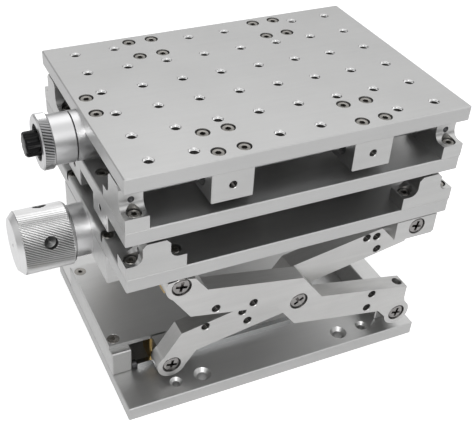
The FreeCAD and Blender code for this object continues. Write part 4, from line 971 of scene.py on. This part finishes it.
# Studio: a white floor that keeps the table's shadow, a white surround and soft lamps. In metal the
# surround is darker towards its horizon.
FLOOR_HALF_SIZE = 6.0
FLOOR_GLOW = 0.62
FLOOR_GLOW_IN_METAL = 0.30
SURROUND_COLOUR = (0.5, 0.5, 0.505, 1.0)
HORIZON_LOW = 0.15
HORIZON_HIGH = 0.5
HORIZON_LEVEL = 0.3
PAPER_COLOUR = (0.86, 0.86, 0.86, 1.0)
PAPER_ROUGHNESS = 0.9
floor_mesh = bmesh.new()
bmesh.ops.create_grid(floor_mesh, x_segments=1, y_segments=1, size=FLOOR_HALF_SIZE)
floor = new_object("floor", mesh_data("floor", floor_mesh))
paper = bpy.data.materials.new("white paper")
paper.use_nodes = True
paper_tree = paper.node_tree
paper_shader = paper_tree.nodes["Principled BSDF"]
paper_shader.inputs["Base Color"].default_value = PAPER_COLOUR
paper_shader.inputs["Roughness"].default_value = PAPER_ROUGHNESS
floor.data.materials.append(paper)


def seen_rays(tree):
    """One for the rays that show the background: the camera's, and those off metal or through glass."""
    rays = add_node(tree, "ShaderNodeLightPath")
    mirrored = maths(tree, "MAXIMUM", rays.outputs["Is Glossy Ray"], rays.outputs["Is Transmission Ray"])
    return maths(tree, "MAXIMUM", rays.outputs["Is Camera Ray"], mirrored)


glow = add_node(paper_tree, "ShaderNodeEmission")
glow_rays = add_node(paper_tree, "ShaderNodeLightPath")
glow_level = add_node(paper_tree, "ShaderNodeMapRange", [("Value", glow_rays.outputs["Is Camera Ray"])])
glow_level.inputs["To Min"].default_value = FLOOR_GLOW_IN_METAL
glow_level.inputs["To Max"].default_value = FLOOR_GLOW
paper_tree.links.new(glow_level.outputs["Result"], glow.inputs["Strength"])
lit_paper = add_node(paper_tree, "ShaderNodeAddShader", [(0, glow.outputs[0]), (1, paper_shader.outputs[0])])
paper_mix = add_node(paper_tree, "ShaderNodeMixShader", [("Fac", seen_rays(paper_tree))])
paper_tree.links.new(paper_shader.outputs[0], paper_mix.inputs[1])
paper_tree.links.new(lit_paper.outputs[0], paper_mix.inputs[2])
paper_tree.links.new(paper_mix.outputs[0], paper_tree.nodes["Material Output"].inputs["Surface"])

world = bpy.data.worlds.new("white surround")
bpy.context.scene.world = world
world.use_nodes = True
sky = world.node_tree
surround = sky.nodes["Background"]
surround.inputs["Color"].default_value = SURROUND_COLOUR
seen_white = add_node(sky, "ShaderNodeBackground")
directions = add_node(sky, "ShaderNodeTexCoord")
height_of = add_node(sky, "ShaderNodeSeparateXYZ", [("Vector", directions.outputs["Generated"])])
horizon = add_node(sky, "ShaderNodeMapRange", [("Value", height_of.outputs["Z"])],
                   interpolation_type="SMOOTHSTEP")
for key, value in (("From Min", HORIZON_LOW), ("From Max", HORIZON_HIGH), ("To Min", HORIZON_LEVEL),
                   ("To Max", 1.0)):
    horizon.inputs[key].default_value = value
rays = add_node(sky, "ShaderNodeLightPath")
level = maths(sky, "MAXIMUM", horizon.outputs["Result"], rays.outputs["Is Camera Ray"])
sky.links.new(level, seen_white.inputs["Color"])
sky_mix = add_node(sky, "ShaderNodeMixShader", [("Fac", seen_rays(sky))])
sky.links.new(surround.outputs[0], sky_mix.inputs[1])
sky.links.new(seen_white.outputs[0], sky_mix.inputs[2])
sky.links.new(sky_mix.outputs[0], sky.nodes["World Output"].inputs["Surface"])


def softbox(name, place, aim, size, power):
    """A square area lamp at a place, aimed at a point."""
    lamp_data = bpy.data.lights.new(name, "AREA")
    lamp_data.shape = "SQUARE"
    lamp_data.size = size
    lamp_data.energy = power
    lamp = new_object(name, lamp_data)
    lamp.location = place
    lamp.rotation_euler = (Vector(aim) - Vector(place)).to_track_quat("-Z", "Y").to_euler()


table_middle = (0.0, 0.0, 0.1)
softbox("front softbox", (-0.45, -0.95, 0.95), table_middle, size=0.6, power=5.0)
softbox("top softbox", (0.4, 0.7, 1.5), table_middle, size=1.1, power=2.5)
softbox("right softbox", (1.2, -0.4, 0.7), table_middle, size=0.7, power=1.0)

# Camera: the photograph's, from its front left and well above. Its axis meets the picture a little
# left of the middle.
CAMERA_PLACE = (-0.2163, -0.4007, 0.4162)
CAMERA_HEADING = 25.14
CAMERA_DOWN_TILT = 36.68
CAMERA_ROLL = 2.48
FOCAL_PIXELS = 856.7
PHOTO_WIDTH = 472.0
AXIS_PIXEL_X = 200.0
SENSOR_WIDTH = 36.0
camera_data = bpy.data.cameras.new("camera")
camera_data.sensor_width = SENSOR_WIDTH
camera_data.lens = FOCAL_PIXELS / PHOTO_WIDTH * camera_data.sensor_width
camera_data.shift_x = (PHOTO_WIDTH / 2 - AXIS_PIXEL_X) / PHOTO_WIDTH
camera_data.clip_start = 0.01
camera = new_object("camera", camera_data)
heading = Matrix.Rotation(math.radians(-CAMERA_HEADING), 4, "Z")
tilt = Matrix.Rotation(math.radians(90.0 - CAMERA_DOWN_TILT), 4, "X")
roll = Matrix.Rotation(math.radians(CAMERA_ROLL), 4, "Z")
camera.matrix_world = Matrix.Translation(CAMERA_PLACE) @ heading @ tilt @ roll
bpy.context.scene.camera = camera
bpy.context.scene.view_settings.view_transform = "Standard"
